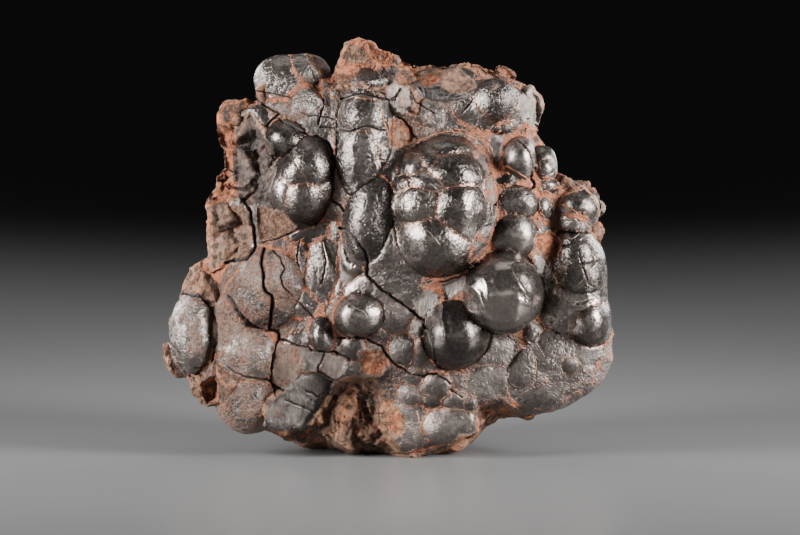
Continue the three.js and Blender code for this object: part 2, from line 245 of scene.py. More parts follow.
# Narrow lines on the face, each a row of x,y places on the sheet. Cracks have their half width
# and depth in millimetres.
CRACKS = [
    (0.34, 1.4, [
        "254,192 243,200 247,206 251,212 251,223 254,229 254,236 256,248 250,255 245,259 235,261 225,263",
        "265,249 262,256 262,264 264,276 264,288 267,293 272,296 273,303 271,315 270,328 279,334 279,339",
        "340,228 346,230 350,233 354,238 361,248 365,253 368,262 367,275 371,280 377,286 384,292 396,300 "
        "404,305 412,311 418,317 425,320",
        "228,297 234,303 238,311 244,318 250,324 257,328 265,330 278,331",
    ]),
    (0.24, 1.1, [
        "256,97 262,104 270,109 279,113 270,122 265,128",
        "278,118 283,122 292,126 300,131 308,136 318,137 326,141 331,148 333,157 336,163",
        "338,133 339,138 337,147 336,163 334,170 333,180 332,198 334,202 340,206 345,212",
        "341,100 346,98 352,96 360,95 368,97 377,99 390,101 396,97 399,92 400,88",
        "339,131 350,132 362,129 370,128 378,130 386,131",
        "279,339 276,345 273,355 271,368 270,380 271,384 276,387 284,391",
        "279,339 287,341 292,344 300,346 308,347 312,350 325,352 335,351 338,354 344,357 350,361",
        "338,338 350,338 366,338 370,341 377,344 382,346 385,352 391,361 398,366 405,371 411,375 "
        "424,377 429,374 436,374 447,380 450,384",
        "425,320 424,326 428,332 431,340 433,348 435,360 437,366 442,369 450,370",
        "518,140 524,146 529,151 532,160 533,168 530,179 534,184 532,189 525,190 510,191 502,193 "
        "498,198 493,206",
        "183,295 200,297 206,304 212,312 215,320 216,328 216,343 214,352 212,362",
    ]),
    (0.16, 0.6, [
        "326,90 323,97 324,103 322,112 318,125", "301,113 308,116 320,116 335,120",
        "320,128 328,127 335,128 338,133", "409,92 416,102 425,108 435,114",
        "396,117 403,120 409,127 412,134 417,139", "472,100 470,104 462,113",
        "262,243 268,241 277,239 287,235 300,229", "236,308 242,320", "270,385 276,397",
        "325,352 322,361 318,368 318,372 324,376 335,381", "193,369 208,365",
        "170,335 168,342 171,344 176,350 178,356", "170,365 172,371", "177,363 185,373",
        "228,367 235,373 245,377 265,379 270,382", "272,251 280,258 285,268 281,277 283,285 292,296",
        "300,303 314,318", "450,389 463,398", "286,401 300,407 312,412", "304,390 318,398",
        "257,91 267,92 280,95 292,98", "300,240 297,256 300,272", "322,243 326,262 322,284",
        "440,282 452,279 464,274", "478,232 485,222 486,206", "580,258 583,268 588,283 594,287",
    ]),
]
# Mineral veins: pale ones, orange ones, and rings as x, y and radius.
PALE_VEINS = [
    "355,80 363,84 370,90 377,100 382,107 384,114 383,122", "366,132 369,138 379,150 379,155 370,167 366,173",
    "413,153 420,156 422,162", "395,178 405,175 412,178", "430,185 436,190 440,197 437,205",
    "426,230 433,237 440,246", "443,300 442,318 444,335", "512,273 518,283 525,298",
    "590,256 586,268 584,278 590,288", "584,278 578,284", "573,302 586,300 598,298",
    "545,170 552,176 557,182", "524,338 530,344", "507,380 515,386 522,388",
    "240,364 236,372", "345,300 352,306 362,310 368,318",
]
ORANGE_VEINS = [
    "405,146 415,141 425,138 435,134 445,132 452,132 460,133 468,136 475,139 483,141 490,146 493,158",
    "455,129 465,131 475,136 482,138 500,130", "503,165 510,169 520,175 530,181 534,184 541,190",
    "561,205 570,209 578,215 585,223 590,230", "583,187 590,193 595,200 598,208 600,218",
    "535,192 545,197 556,205 561,205", "522,125 530,128 537,127",
    "492,160 494,180 497,200 494,222 490,250 478,262", "417,412 420,424 428,436",
    "341,62 334,84 329,96 338,100", "224,292 228,282 236,275 240,266 245,258 256,250",
    "380,110 386,128 392,142",
]
# Folds of the skin itself, with half width and height in millimetres.
FOLDS = [
    (0.8, 0.34, ["508,268 512,276 518,286 527,298", "513,262 524,264 534,268", "470,286 478,292 484,306",
                 "482,276 486,286 487,298", "516,300 528,303 536,312", "492,318 502,322 514,320",
                 "443,298 442,316 445,336", "466,304 474,312 480,324"]),
    (0.6, 0.28, ["566,256 576,262 588,262 598,258", "584,268 588,280 584,292", "562,284 574,288 584,286",
                 "590,300 582,306 570,304", "566,316 578,312 592,316", "568,330 580,334 592,330",
                 "556,268 560,282 557,296", "345,306 352,300 364,301", "375,300 380,312 378,326",
                 "304,246 312,262 314,282 310,298", "322,240 330,262 330,286 324,306",
                 "352,148 356,164 352,182", "368,140 374,156 376,172", "346,180 354,190 368,194",
                 "446,222 456,232 468,238", "404,196 414,192 424,196", "448,160 458,166 472,166"]),
]
RINGS = [(343, 75, 6), (258, 213, 5), (570, 229, 10), (533, 338, 6), (470, 405, 7), (558, 352, 6)]

# Broken patches of the face. Each is flattened towards a plane by its share, sunk by its depth,
# roughened, and eased in over its edge, the last three in millimetres. The tone after its finish
# goes from -1, dark, to 1, light. Corners are places on the sheet.
PATCHES = [
    # (flat, depth, rough, edge), finish, tone, corners
    ((0.2, 1.8, 1.5, 2.5), (0.0, 0.15, 0.4, 1), 0.0,
     "333,384 350,376 375,378 385,392 385,408 383,420 392,436 402,456 388,460 340,450 324,436 310,440 "
     "318,410"),
    ((0.0, 1.2, 1.3, 1.0), (0.0, 0.0, 0.7, 1), -0.2,
     "397,82 410,86 424,88 440,84 447,72 460,66 478,70 492,74 512,80 530,80 532,66 520,58 470,52 396,52"),
    ((1.0, 0.2, 0.25, 0.4), (0.3, 0.7, 0.3, 0.8), 0.2, "441,76 458,66 476,84 466,94 452,94 442,88"),
    ((0.0, 1.0, 1.0, 1.5), (0.0, 0.0, 1.0, 1), 0.0,
     "212,124 236,128 240,150 244,176 238,198 226,204 204,204 208,170 216,150"),
    ((0.1, 0.3, 0.8, 1.0), (0.4, 0.3, 0.4, 1), -0.6,
     "236,140 256,126 272,146 276,172 264,204 240,206 232,172"),
    ((0.1, 0.4, 0.9, 1.0), (0.3, 0.4, 0.6, 1), 0.0,
     "212,204 232,202 246,208 252,222 253,236 250,252 240,260 224,262 212,262"),
    ((0.0, 5.0, 0.6, 1.2), (0.0, 0.0, 0.9, 1), -1.0, "200,384 212,376 219,382 218,402 206,406 199,398"),
    ((0.9, 0.2, 0.1, 0.4), (0.5, 0.5, 0.5, 0.7), 0.3,
     "272,342 298,346 304,350 300,372 294,384 283,391 273,384 270,366"),
    ((0.9, 0.4, 0.1, 0.4), (0.8, 0.2, 0.2, 0.5), -0.1, "301,348 325,353 319,371 303,372"),
    ((0.8, 0.0, 0.1, 0.4), (0.7, 0.4, 0.3, 0.5), 0.3, "326,353 346,358 344,372 335,381 320,370"),
    ((0.95, 0.9, 0.12, 0.4), (0.8, 0.2, 0.05, 0.8), -0.4,
     "284,392 300,376 318,373 334,382 330,394 316,412 304,432 280,432 262,428 268,408"),
    ((0.9, 0.9, 0.15, 0.4), (0.8, 0.1, 0.0, 0.6), -1.0,
     "414,86 422,97 430,101 445,103 455,102 465,98 473,93 466,95 452,95 440,86 426,88"),
    ((0.9, 0.3, 0.15, 0.4), (0.7, 0.3, 0.4, 0.5), 0.2, "530,84 540,100 542,122 534,130 522,116 520,98"),
    ((1.0, 0.0, 0.12, 0.3), (0.8, 0.35, 0.2, 0.4), 0.3, "413,300 430,290 440,297 430,314 420,317"),
    ((0.9, 0.3, 0.05, 0.4), (0.8, 0.3, 0.3, 0.4), 0.2, "441,284 466,276 462,290 446,300"),
    ((0.8, 0.8, 0.3, 0.5), (0.1, 0.5, 1.0, 0.7), 0.9, "534,236 550,230 561,242 557,258 542,252 533,262"),
    ((1.0, 0.0, 0.05, 0.3), (1.0, 0.2, 0.1, 0.3), 1.0, "534,254 545,260 543,276 537,270"),
    ((0.9, 0.3, 0.2, 0.4), (0.3, 0.6, 0.9, 0.7), 0.2, "389,120 400,118 410,128 414,138 402,150 390,148"),
    ((0.9, 0.2, 0.2, 0.4), (0.7, 0.5, 0.3, 0.6), 0.3, "390,80 408,88 414,100 408,116 394,114 386,98"),
    ((0.8, -0.3, 0.3, 0.4), (0.1, 0.4, 1.0, 0.8), 0.3, "591,228 601,219 608,219 609,235 603,247 595,240"),
    ((0.9, -0.3, 0.1, 0.3), (0.5, 0.5, 0.4, 0.4), 0.1, "597,195 605,198 613,208 605,216 599,208"),
    ((0.6, 0.0, 0.6, 0.6), (0.1, 0.6, 0.6, 0.9), 0.0, "304,52 318,50 330,58 331,74 324,80 314,68"),
    ((0.9, 0.0, 0.15, 0.4), (0.2, 0.7, 0.5, 0.7), 0.8, "190,382 200,388 206,402 198,408 190,404"),
    ((1.0, 0.2, 0.25, 0.4), (0.1, 0.5, 1.0, 0.8), 0.6,
     "384,398 394,404 404,418 405,432 398,438 386,428 382,415"),
    ((0.7, 0.4, 0.35, 0.6), (0.2, 0.7, 0.8, 1.0), 0.1, "358,350 384,350 390,364 380,378 362,376"),
    ((0.7, 0.3, 0.3, 0.6), (0.2, 0.8, 0.6, 0.9), 0.1, "256,206 284,212 298,228 276,238 258,240"),
]

ROOT_END = -5            # how far back the roots of the kidneys reach
RIM_FRONT = -1           # where the rim of the matrix ends at the front
BACK = -46               # where the broken back lies
BLOCK_FRONT = -9         # where the mass of the matrix begins, behind the skin
BLOCK_INSET = 3.0        # how far inside the outline it stays
BLOCK_CRAGS = 8          # its crags stand out by less than this
FRONT = 26               # nothing stands out further than this
SKIN_BACK = -12          # the skin and the lines on it are nowhere behind this
SKIN_REACH = 7.0         # how far each row of SKIN is felt
SKIN_EDGE = 5            # how far in from the outline the skin begins to roll back
SKIN_DROP = 9            # how far back it is at the outline
CAPS_BACK = -10          # where the caps begin to stand out
CAPS_FADE = 6            # and how much further out they do so fully
MIDDLE = 48              # how far up the face the middle line of the lump is
BACK_HALF_WIDTH = 44     # the smaller outline that the back has
BACK_TOP = 82
SQUARENESS = 2.6         # 2 would make that outline an ellipse
HEART = (0, 46, -14)     # the middle of the mass of the matrix
BREAKS_FRONT = -22       # in front of this the breaks fade out
# The flat breaks that end the mass behind: which way each faces and how far from HEART it is.
BREAKS = [
    ((0.05, 0.1, -1.0), 31), ((-0.55, 0.4, -0.75), 33), ((0.62, 0.28, -0.75), 34),
    ((0.12, -0.55, -0.84), 32), ((-0.6, -0.35, -0.72), 34), ((0.6, -0.5, -0.62), 36),
    ((0.1, 0.82, -0.6), 33), ((-0.35, 0.85, -0.4), 37), ((0.9, 0.05, -0.42), 40),
    ((-0.9, 0.12, -0.4), 41), ((-0.3, 0.05, -0.95), 30.5), ((0.35, -0.15, -0.93), 31.5),
    ((-0.2, -0.85, -0.5), 38), ((0.45, 0.62, -0.64), 34.5),
]
LEAN = 6                 # how far the face leans back, in degrees
SET_FORWARD = 18.06      # how far in front of the origin the foot of the face plane is
SET_ASIDE = -0.15        # and how far to the right

# The finish of broken matrix, and of the lower right edge, where the skin has worn to rust.
BROKEN = (0.25, 0.3, 0.35, 1.0)
WORN = (0.1, 0.4, 0.9, 1.0)
# The skin between the kidneys is finished as they are, times this and with this added.
SKIN_SHARE, SKIN_ADDED = (0.6, 1, 1, 1), (0, 0.3, 0.4, 0.2)
BLEND_REACH = 50         # how far each kidney's finish is felt there, squared

# ---- Noise ----

def eased(share):
    """A share from 0 to 1, eased at both ends."""
    return share * share * (3 - 2 * share)


def unit(rows):
    """Rows of x, y and z, each made as long as 1."""
    return rows / np.linalg.norm(rows, axis=1, keepdims=True)


GRADIENT_COUNT = 512     # a power of two
GRADIENTS = unit(np.random.default_rng(11).normal(size=(GRADIENT_COUNT, 3)))
SCRAMBLE = (73856093, 19349663, 83492791, 49979687)


def cell_code(cell, seed):
    """The number of the gradient at each lattice cell."""
    mixed = (cell[:, 0] * SCRAMBLE[0]) ^ (cell[:, 1] * SCRAMBLE[1]) ^ (cell[:, 2] * SCRAMBLE[2])
    mixed ^= (seed + 1) * SCRAMBLE[3]
    mixed ^= mixed >> 13
    return (mixed * 5 + (mixed >> 7)) & (GRADIENT_COUNT - 1)


def noise(points, size, seed=0):
    """Smooth noise of about -1 to 1, with lumps about size mm across."""
    scaled = points / size
    cell = np.floor(scaled).astype(np.int64)
    part = scaled - cell
    ease = part ** 3 * (part * (part * 6 - 15) + 10)
    total = np.zeros(len(points))
    for corner in np.ndindex(2, 2, 2):
        step = np.array(corner)
        gradient = GRADIENTS[cell_code(cell + step, seed)]
        weight = np.prod(np.where(step, ease, 1 - ease), axis=1)
        total += weight * np.einsum("ij,ij->i", gradient, part - step)
    return total * 1.6


def rough(points, size, seed=0, octaves=4):
    """Several layers of noise, each half the size of the one before."""
    return sum(0.5 ** k * noise(points, size / 2 ** k, seed + k) for k in range(octaves))


def ridged(points, size, seed=0, octaves=3):
    """Noise with sharp crests, from 0 to about 1."""
    layers = (0.5 ** k * (1 - np.abs(noise(points, size / 2 ** k, seed + k)) * 2)
              for k in range(octaves))
    return sum(layers) / 1.75


# ---- Shapes: rounded domes, and broken stones with flat sides ----

# A sheet is a dome's skin or one side of a stone.
DOME, STONE, SKIN_KIND = 0, 1, 2
SIDES = 20               # how many flat sides a stone has
FAR = 1e6                # the offset of a side that cuts nothing
NOWHERE = 50.0           # the distance given where no sheet is near
# The way down, in the face's own axes. The foot lies square to it.
DOWN = np.array([0, -math.cos(math.radians(LEAN)), -math.sin(math.radians(LEAN))])

# A shape before it is made a dome or a stone.
BLANK = dict(stone=False, middle=(0, 0, 0), axes=np.eye(3), half=(1, 1, 1), root=1.0,
             finish=BROKEN, kind=STONE, sides=np.zeros((SIDES, 3)),
             offsets=np.full(SIDES, FAR), reach=0.0)


class Shapes:
    """All the shapes whose union is the lump, as arrays, and the distance to their skins.

    A sheet's label is (shape * SIDES + side) * (number of caps + 1) + cap, with cap 0 for none.
    """

    def __init__(self, random):
        self.random = random
        self.rows, self.cap_rows = [], []

    def dome(self, row, finish):
        """A lobe, rounded at the front and drawn out behind."""
        x, y, half_width, half_height, turn, depth, rise = row
        across, up = from_sheet(x, y)
        half_width, half_height = half_width / PER_MM, half_height / PER_MM
        angle = math.radians(turn)
        axes = np.array([[math.cos(angle), -math.sin(angle), 0],
                         [math.sin(angle), math.cos(angle), 0],
                         [0, 0, 1]])
        root = max(rise, depth - ROOT_END)
        self.rows.append(dict(
            BLANK, middle=(across, up, depth), axes=axes, half=(half_width, half_height, rise),
            root=root, finish=finish, kind=DOME, reach=max(half_width, half_height, root)))

    def stone(self, middle, size, axes, finish, true_sides=(), deepest=0.72):
        """A broken stone. Its sides lie at the deepest to 0.98 of its half size, and its true
        sides, each an axis and a sign, at all of it."""
        half = np.array(size) / 2
        sides = unit(self.random.normal(size=(SIDES, 3)))
        support = np.sqrt(((sides * half) ** 2).sum(axis=1))
        offsets = support * self.random.uniform(deepest, 0.98, SIDES)
        for number, (axis, sign) in enumerate(true_sides):
            sides[number] = 0
            sides[number, axis] = sign
            offsets[number] = half[axis]
        self.rows.append(dict(
            BLANK, stone=True, middle=middle, half=half, finish=finish, sides=sides @ axes.T,
            offsets=offsets, reach=half.max() * 1.1))

    def cap(self, row, finish):
        """A low dome that stands on another shape."""
        x, y, half_width, half_height, turn, height = row
        self.cap_rows.append(((*from_sheet(x, y), half_width / PER_MM, half_height / PER_MM,
                               turn, height), finish))

    def close(self):
        """Turns the rows into arrays once every shape is in."""
        # After the others come rows for the skin, the block, the fence and the ground.
        self.skin, self.block, self.fence, self.ground = len(self.rows) + np.arange(4)
        self.rows += [dict(BLANK, kind=SKIN_KIND), BLANK, BLANK, BLANK]
        for name in self.rows[0]:
            setattr(self, name, np.array([row[name] for row in self.rows]))
        self.caps = np.array([row for row, _ in self.cap_rows], float)
        self.cap_finish = np.array([BROKEN] + [finish for _, finish in self.cap_rows], float)
        self.cap_count = len(self.caps) + 1
        self.find_cap_bases()

    def find_cap_bases(self):
        """A cap stands only on the one shape that is outermost at the cap's middle."""
        self.cap_base = np.full(len(self.caps), -1)
        for depth in np.arange(FRONT, SKIN_BACK, -0.5):
            spots = np.concatenate([self.caps[:, :2], np.full((len(self.caps), 1), depth)], 1)
            distance, shape = self.bare_field(spots, spots, 6.0)[::2]
            first = (distance < 0) & (self.cap_base < 0)
            base = shape[first] // SIDES
            self.cap_base[first] = np.where(self.kind[base] == STONE, self.skin, base)

    @staticmethod
    def bent(points):
        """Bends space a little, so that no shape is perfectly round or flat."""
        shift = [0.5 * noise(points, 9, seed) + 0.15 * noise(points, 3.1, seed + 3)
                 for seed in (21, 22, 23)]
        return points + np.stack(shift, axis=1)

    @staticmethod
    def dome_distance(local, half, root):
        """About the distance to a dome's skin, and its normal, in the dome's own axes."""
        out = np.where(local[..., 2] > 0, half[..., 2], root)
        radii = np.stack([half[..., 0] + 0 * out, half[..., 1] + 0 * out, out], axis=-1)
        ratio = local / radii
        near = np.sqrt((ratio ** 2).sum(-1))
        normal = ratio / radii
        slope = np.maximum(np.sqrt((normal ** 2).sum(-1)), 1e-6)
        return near * (near - 1) / slope, normal / slope[..., None]

    @staticmethod
    def skin_distance(points):
        """Distance to the skin between the lobes, and its normal."""
        def height(across, up):
            weight = np.zeros(len(across))
            total = np.zeros(len(across))
            for middle, level, out in SKIN:
                share = np.exp(-((across - middle) ** 2 + (up - level) ** 2) / SKIN_REACH ** 2)
                weight += share
                total += share * out
            rim = outline_reach(np.arctan2(up - MIDDLE, across)) - np.hypot(across, up - MIDDLE)
            drop = SKIN_DROP * np.clip(1 - rim / SKIN_EDGE, 0, 4) ** 2
            return np.where(weight > 1e-9, total / np.maximum(weight, 1e-9), -SKIN_DROP) - drop
        across, up, out = points.T
        here, step = height(across, up), 0.2
        slope = np.stack([height(across + step, up) - here, height(across, up + step) - here], 1)
        normal = np.concatenate([-slope / step, np.ones((len(points), 1))], 1)
        length = np.linalg.norm(normal, axis=1)
        return (out - here) / length, normal / length[:, None]

    @staticmethod
    def side_distance(points):
        """Distance to the sides of the matrix, smooth and without its front and back."""
        across, up, out = points.T
        angle = np.arctan2(up - MIDDLE, across)
        slope = side_reach(angle, out + 0.5) - side_reach(angle, out - 0.5)
        return (np.hypot(across, up - MIDDLE) - side_reach(angle, out)) / np.hypot(1, slope)

    @staticmethod
    def break_distance(points):
        """Distance to the flat breaks behind, which fade out towards the face."""
        facing = unit(np.array([way for way, _ in BREAKS]))
        faded = np.maximum(points[:, 2] - BREAKS_FRONT, 0)
        return ((points - HEART) @ facing.T - [away for _, away in BREAKS]).max(axis=1) - faded

    @classmethod
    def block_distance(cls, points):
        """Distance to the craggy mass of matrix behind the face."""
        out = points[:, 2]
        crags = 1.6 * rough(points, 13, 61, 3) + 2.4 * ridged(points, 9, 67, 2) - 1.3
        ends = np.maximum(out - BLOCK_FRONT, cls.break_distance(points))
        return np.maximum(cls.side_distance(points) + BLOCK_INSET, ends) - crags

    @classmethod
    def fence_distance(cls, points):
        """Distance to the fence that no broken stone stands out of."""
        behind = np.clip(-points[:, 2] / 20, 0, 1)
        side = cls.side_distance(points) - 0.2 - 1.5 * behind + 0.7 * noise(points, 4.5, 93)
        return np.maximum(side, cls.break_distance(points) - 1.5)

    @staticmethod
    def with_normal(distance_to, points):
        """A truer distance, and the outward normal."""
        here, step = distance_to(points), 0.1
        slope = np.stack([distance_to(points + step * axis) - here for axis in np.eye(3)], 1) / step
        length = np.maximum(np.linalg.norm(slope, axis=1), 0.3)
        return here / length, slope / length[:, None]

    @staticmethod
    def cap_height(row, points):
        """Height and slope of one cap, or of each point's own cap if the row is of arrays."""
        across, up, half_width, half_height, turn, high = row
        c, s = np.cos(np.radians(turn)), np.sin(np.radians(turn))
        x, y = points[:, 0] - across, points[:, 1] - up
        p, q = (x * c + y * s) / half_width, (y * c - x * s) / half_height
        slope = -2 * np.stack([p * c / half_width - q * s / half_height,
                               p * s / half_width + q * c / half_height], 1)
        return high * (1 - p * p - q * q), slope * np.reshape(high, (-1, 1))

    def given_caps(self, points, cap):
        """Height and slope of the given caps, none for cap 0."""
        height, slope = self.cap_height(self.caps[np.maximum(cap, 1) - 1].T, points)
        height[cap == 0] = 0
        slope[cap == 0] = 0
        return height, slope

    def highest_caps(self, points, base):
        """The height and number of the highest cap on each point's base."""
        highest, which = np.zeros(len(points)), np.zeros(len(points), np.int64)
        for number, row in enumerate(self.caps, 1):
            reach = max(row[2], row[3])
            near = np.flatnonzero((np.abs(points[:, 0] - row[0]) < reach)
                                  & (np.abs(points[:, 1] - row[1]) < reach)
                                  & (base == self.cap_base[number - 1]))
            height = self.cap_height(row, points[near])[0]
            higher = height > highest[near]
            which[near] = np.where(higher, number, which[near])
            highest[near] = np.where(higher, height, highest[near])
        return highest, which

    @staticmethod
    def fade(points):
        """How far the caps stand out: fully on the face, not at all at the sides."""
        return eased(np.clip((points[:, 2] - CAPS_BACK) / CAPS_FADE, 0, 1))

    def sheet(self, points, label):
        """Distance and outward normal of one sheet for each point."""
        cap, label = label % self.cap_count, label // self.cap_count
        shape, side = label // SIDES, label % SIDES
        bent = self.bent(points)
        offset = bent - self.middle[shape]
        axes = self.axes[shape]
        local = np.einsum("ij,ijk->ik", offset, axes)
        distance, normal = self.dome_distance(local, self.half[shape], self.root[shape])
        normal = np.einsum("ij,ikj->ik", normal, axes)
        flat = self.stone[shape]
        straight = self.sides[shape, side]
        flat_distance = np.einsum("ij,ij->i", offset, straight) - self.offsets[shape, side]
        distance = np.where(flat, flat_distance, distance)
        normal = np.where(flat[:, None], straight, normal)
        skin = shape == self.skin
        distance[skin], normal[skin] = self.skin_distance(bent[skin])
        for which, distance_to in ((self.block, self.block_distance),
                                   (self.fence, self.fence_distance)):
            own = shape == which
            if own.any():
                distance[own], normal[own] = self.with_normal(distance_to, bent[own])
        height, slope = self.given_caps(bent, cap)
        share = self.fade(points)
        distance = distance - height * share
        normal[:, :2] -= slope * (np.clip(normal[:, 2], 0, 1) * share)[:, None]
        normal = unit(normal)
        ground = shape == self.ground
        distance[ground], normal[ground] = points[ground] @ DOWN, DOWN
        return distance, normal

    def bare_field(self, points, bent, margin):
        """The distance to the nearest sheet without its caps, the next distance and its label."""
        best, second = np.full((2, len(points)), NOWHERE)
        label = np.zeros(len(points), np.int64)
        order = np.argsort(bent[:, 0], kind="stable")
        sorted_across = bent[order, 0]
        fence = self.fence_distance(bent)
        for shape in range(self.block + 1):
            own = shape * SIDES
            if shape == self.skin:
                near = np.flatnonzero(bent[:, 2] > SKIN_BACK)
                distance = self.skin_distance(bent[near])[0]
                own = np.where(fence[near] > distance, self.fence * SIDES, own)
                distance = np.maximum(fence[near], distance)
            elif shape == self.block:
                near = np.flatnonzero(bent[:, 2] < BLOCK_FRONT + BLOCK_CRAGS)
                distance = self.block_distance(bent[near])
            else:
                middle, reach = self.middle[shape], self.reach[shape] + margin
                first = np.searchsorted(sorted_across, middle[0] - reach)
                last = np.searchsorted(sorted_across, middle[0] + reach)
                near = order[first:last]
                offset = bent[near] - middle
                keep = (np.abs(offset[:, 1]) < reach) & (np.abs(offset[:, 2]) < reach)
                near, offset = near[keep], offset[keep]
                if not len(near):
                    continue
                if self.stone[shape]:
                    heights = offset @ self.sides[shape].T - self.offsets[shape]
                    distance = heights.max(axis=1)
                    cut = fence[near] > distance
                    own = np.where(cut, self.fence * SIDES, own + heights.argmax(axis=1))
                    distance = np.where(cut, fence[near], distance)
                else:
                    local = offset @ self.axes[shape]
                    distance = self.dome_distance(local, self.half[shape], self.root[shape])[0]
            closer = distance < best[near]
            second[near] = np.where(closer, best[near], np.minimum(second[near], distance))
            label[near] = np.where(closer, own, label[near])
            best[near] = np.where(closer, distance, best[near])
        return best, second, label

    def field(self, points, margin=6.0):
        """The distance to the nearest sheet, how far off the next one is, and its label."""
        bent = self.bent(points)
        best, second, label = self.bare_field(points, bent, margin)
        gap = second - best
        high, cap = self.highest_caps(bent, label // SIDES)
        cap[(self.kind[label // SIDES] == STONE) | (points[:, 2] < CAPS_BACK)] = 0
        best = best - high * self.fade(points) * (cap > 0)
        label = label * self.cap_count + cap
        under = points @ DOWN
        cut = under > best
        ground_label = self.ground * SIDES * self.cap_count
        return np.where(cut, under, best), gap, np.where(cut, ground_label, label)

    def kind_of(self, label):
        """DOME, STONE or SKIN_KIND, for each sheet's label."""
        return self.kind[label // self.cap_count // SIDES]

    def finish_of(self, points, label):
        """Shine, dust, rust and coarseness: the cap's, the lobe's, or for the skin a blend."""
        cap, shape = label % self.cap_count, label // self.cap_count // SIDES
        finish = self.finish[shape]
        finish[cap > 0] = self.cap_finish[cap[cap > 0]]
        bare = (shape == self.skin) & (cap == 0)
        spots = points[bare, :2]
        total, weight = np.zeros((len(spots), 4)), np.full((len(spots), 1), 1e-9)
        for groups in (LOBES, CAPS):
            for group, rows in groups.values():
                for row in rows:
                    away = ((spots - from_sheet(*row[:2])) ** 2).sum(axis=1)
                    share = np.exp(-away / BLEND_REACH)[:, None]
                    total += share * np.array(group)
                    weight += share
        finish[bare] = np.clip(total / weight * SKIN_SHARE + SKIN_ADDED, 0, 1)
        return finish


def from_sheet(x, y):
    """Across and up on the face, in millimetres, of a place on the sheet."""
    return (x - SHEET[0]) / PER_MM, (SHEET[1] - y) / PER_MM


def turned(tip, swing, roll):
    """The axes of a stone, turned about across, up and out in that order, in degrees."""
    first, then, last = (Matrix.Rotation(math.radians(angle), 3, axis)
                         for angle, axis in ((tip, "X"), (swing, "Y"), (roll, "Z")))
    return np.array(last @ then @ first)


def outline_reach(angle):
    """How far the outline is from the middle line at each angle."""
    points = np.array(OUTLINE, float) - (0, MIDDLE)
    angles = np.arctan2(points[:, 1], points[:, 0])
    order = np.argsort(angles)
    reach = np.hypot(points[:, 0], points[:, 1])[order]
    return np.interp(angle, angles[order], reach, period=2 * math.pi)


def back_reach(angle):
    """How far the back reaches from its middle line at each angle: a rounded square."""
    half_height = np.where(np.sin(angle) > 0, BACK_TOP - MIDDLE, MIDDLE)
    across = np.abs(np.cos(angle) / BACK_HALF_WIDTH) ** SQUARENESS
    up = np.abs(np.sin(angle) / half_height) ** SQUARENESS
    return (across + up) ** (-1 / SQUARENESS)


def rim_of(points):
    """How far in from the outline each point is, raggedly."""
    across, up = points[:, 0], points[:, 1] - MIDDLE
    reach = outline_reach(np.arctan2(up, across)) - np.hypot(across, up)
    return reach + 1.5 * noise(points, 4.0, 91)


def side_reach(angle, depth):
    """How far the side of the matrix is from its middle line, at a depth behind the face."""
    back = (depth - RIM_FRONT) / (BACK - RIM_FRONT)
    drawn = np.clip(back, 0, 1) ** 0.8
    round_off = np.sqrt(np.clip(1 - np.clip((-depth - 20) / 36, 0, 1) ** 2, 0.05, 1))
    return (outline_reach(angle) * (1 - drawn) + back_reach(angle) * drawn) * round_off


def add_rim(shapes, random):
    """A broken stone behind every stretch of the outline, with its outer side on the stretch."""
    corners = np.array(OUTLINE, float)
    for start, end in zip(corners, np.roll(corners, -1, axis=0)):
        along = end - start
        length = np.hypot(*along)
        outward = np.array([-along[1], along[0]]) / length
        roll = math.degrees(math.atan2(outward[1], outward[0]))
        thick, deep = 10.0, random.uniform(9, 15)
        middle = (start + end) / 2 - outward * thick / 2
        front = RIM_FRONT + random.uniform(-3.0, 0.8)
        axes = turned(random.uniform(-10, 10), random.uniform(-8, 8), roll)
        size = (thick, length * 1.1 + 1, deep * 1.2)
        true_sides = ((0, 1), (2, 1)) if length > 3 else ((0, 1),)
        shapes.stone((*middle, front - deep / 2), size, axes, BROKEN, true_sides)


# The rings of stones down the sides: depth and number of stones.
SIDE_RINGS = ((-9, 30), (-16, 26), (-24, 24), (-32, 20), (-40, 16))


def add_sides(shapes, random):
    """Rings of broken stones down the sides, and more over the back."""
    for depth, count in SIDE_RINGS:
        shift = random.uniform(0, 1)
        for step in range(count):
            angle = (step + shift + random.uniform(-0.3, 0.3)) / count * 2 * math.pi
            size = random.uniform(15, 26, 3)
            here = max(depth + random.uniform(-3, 3), BACK + size.max() * 0.45)
            if depth == SIDE_RINGS[0][0] and math.cos(angle) > 0.07 and math.sin(angle) < -0.45:
                here -= 7    # the skin is whole at the lower right
            reach = side_reach(np.array(angle), here) - size[0] / 2 * 0.9
            middle = (math.cos(angle) * reach, MIDDLE + math.sin(angle) * reach, here)
            axes = turned(random.uniform(-25, 25), random.uniform(0, 30),
                          math.degrees(angle) + random.uniform(-20, 20))
            shapes.stone(middle, size, axes, BROKEN)
    for row, up in enumerate(range(10, 84, 13)):
        for across in range(-36, 42, 14):
            place = np.array([across + 6 * (row % 2) - 3, up]) + random.uniform(-4, 4, 2)
            angle = math.atan2(place[1] - MIDDLE, place[0])
            share = np.hypot(place[0], place[1] - MIDDLE) / back_reach(np.array(angle))
            if share > 0.95:
                continue
            size = random.uniform(17, 28, 3)
            depth = BACK + 12 * share ** 2 + size[2] / 2 * 0.8 + random.uniform(-2, 1)
            axes = turned(random.uniform(-25, 25), random.uniform(-25, 25),
                          random.uniform(0, 90))
            shapes.stone((*place, depth), size, axes, BROKEN)


def add_crags(shapes):
    """The single stones that stand out, broken deeper than the others."""
    for finish, rows in CRAGS:
        for x, y, depth, size, turns in rows:
            shapes.stone((*from_sheet(x, y), depth), size, turned(*turns), finish, deepest=0.5)


# The crowd of small caps: where on the sheet, how large there, and how many tries.
CROWD_X, CROWD_Y = (186, 594), (72, 428)
CROWD_SIZES = (8, 11, 15, 20, 25)
CROWD_TRIES = 5000


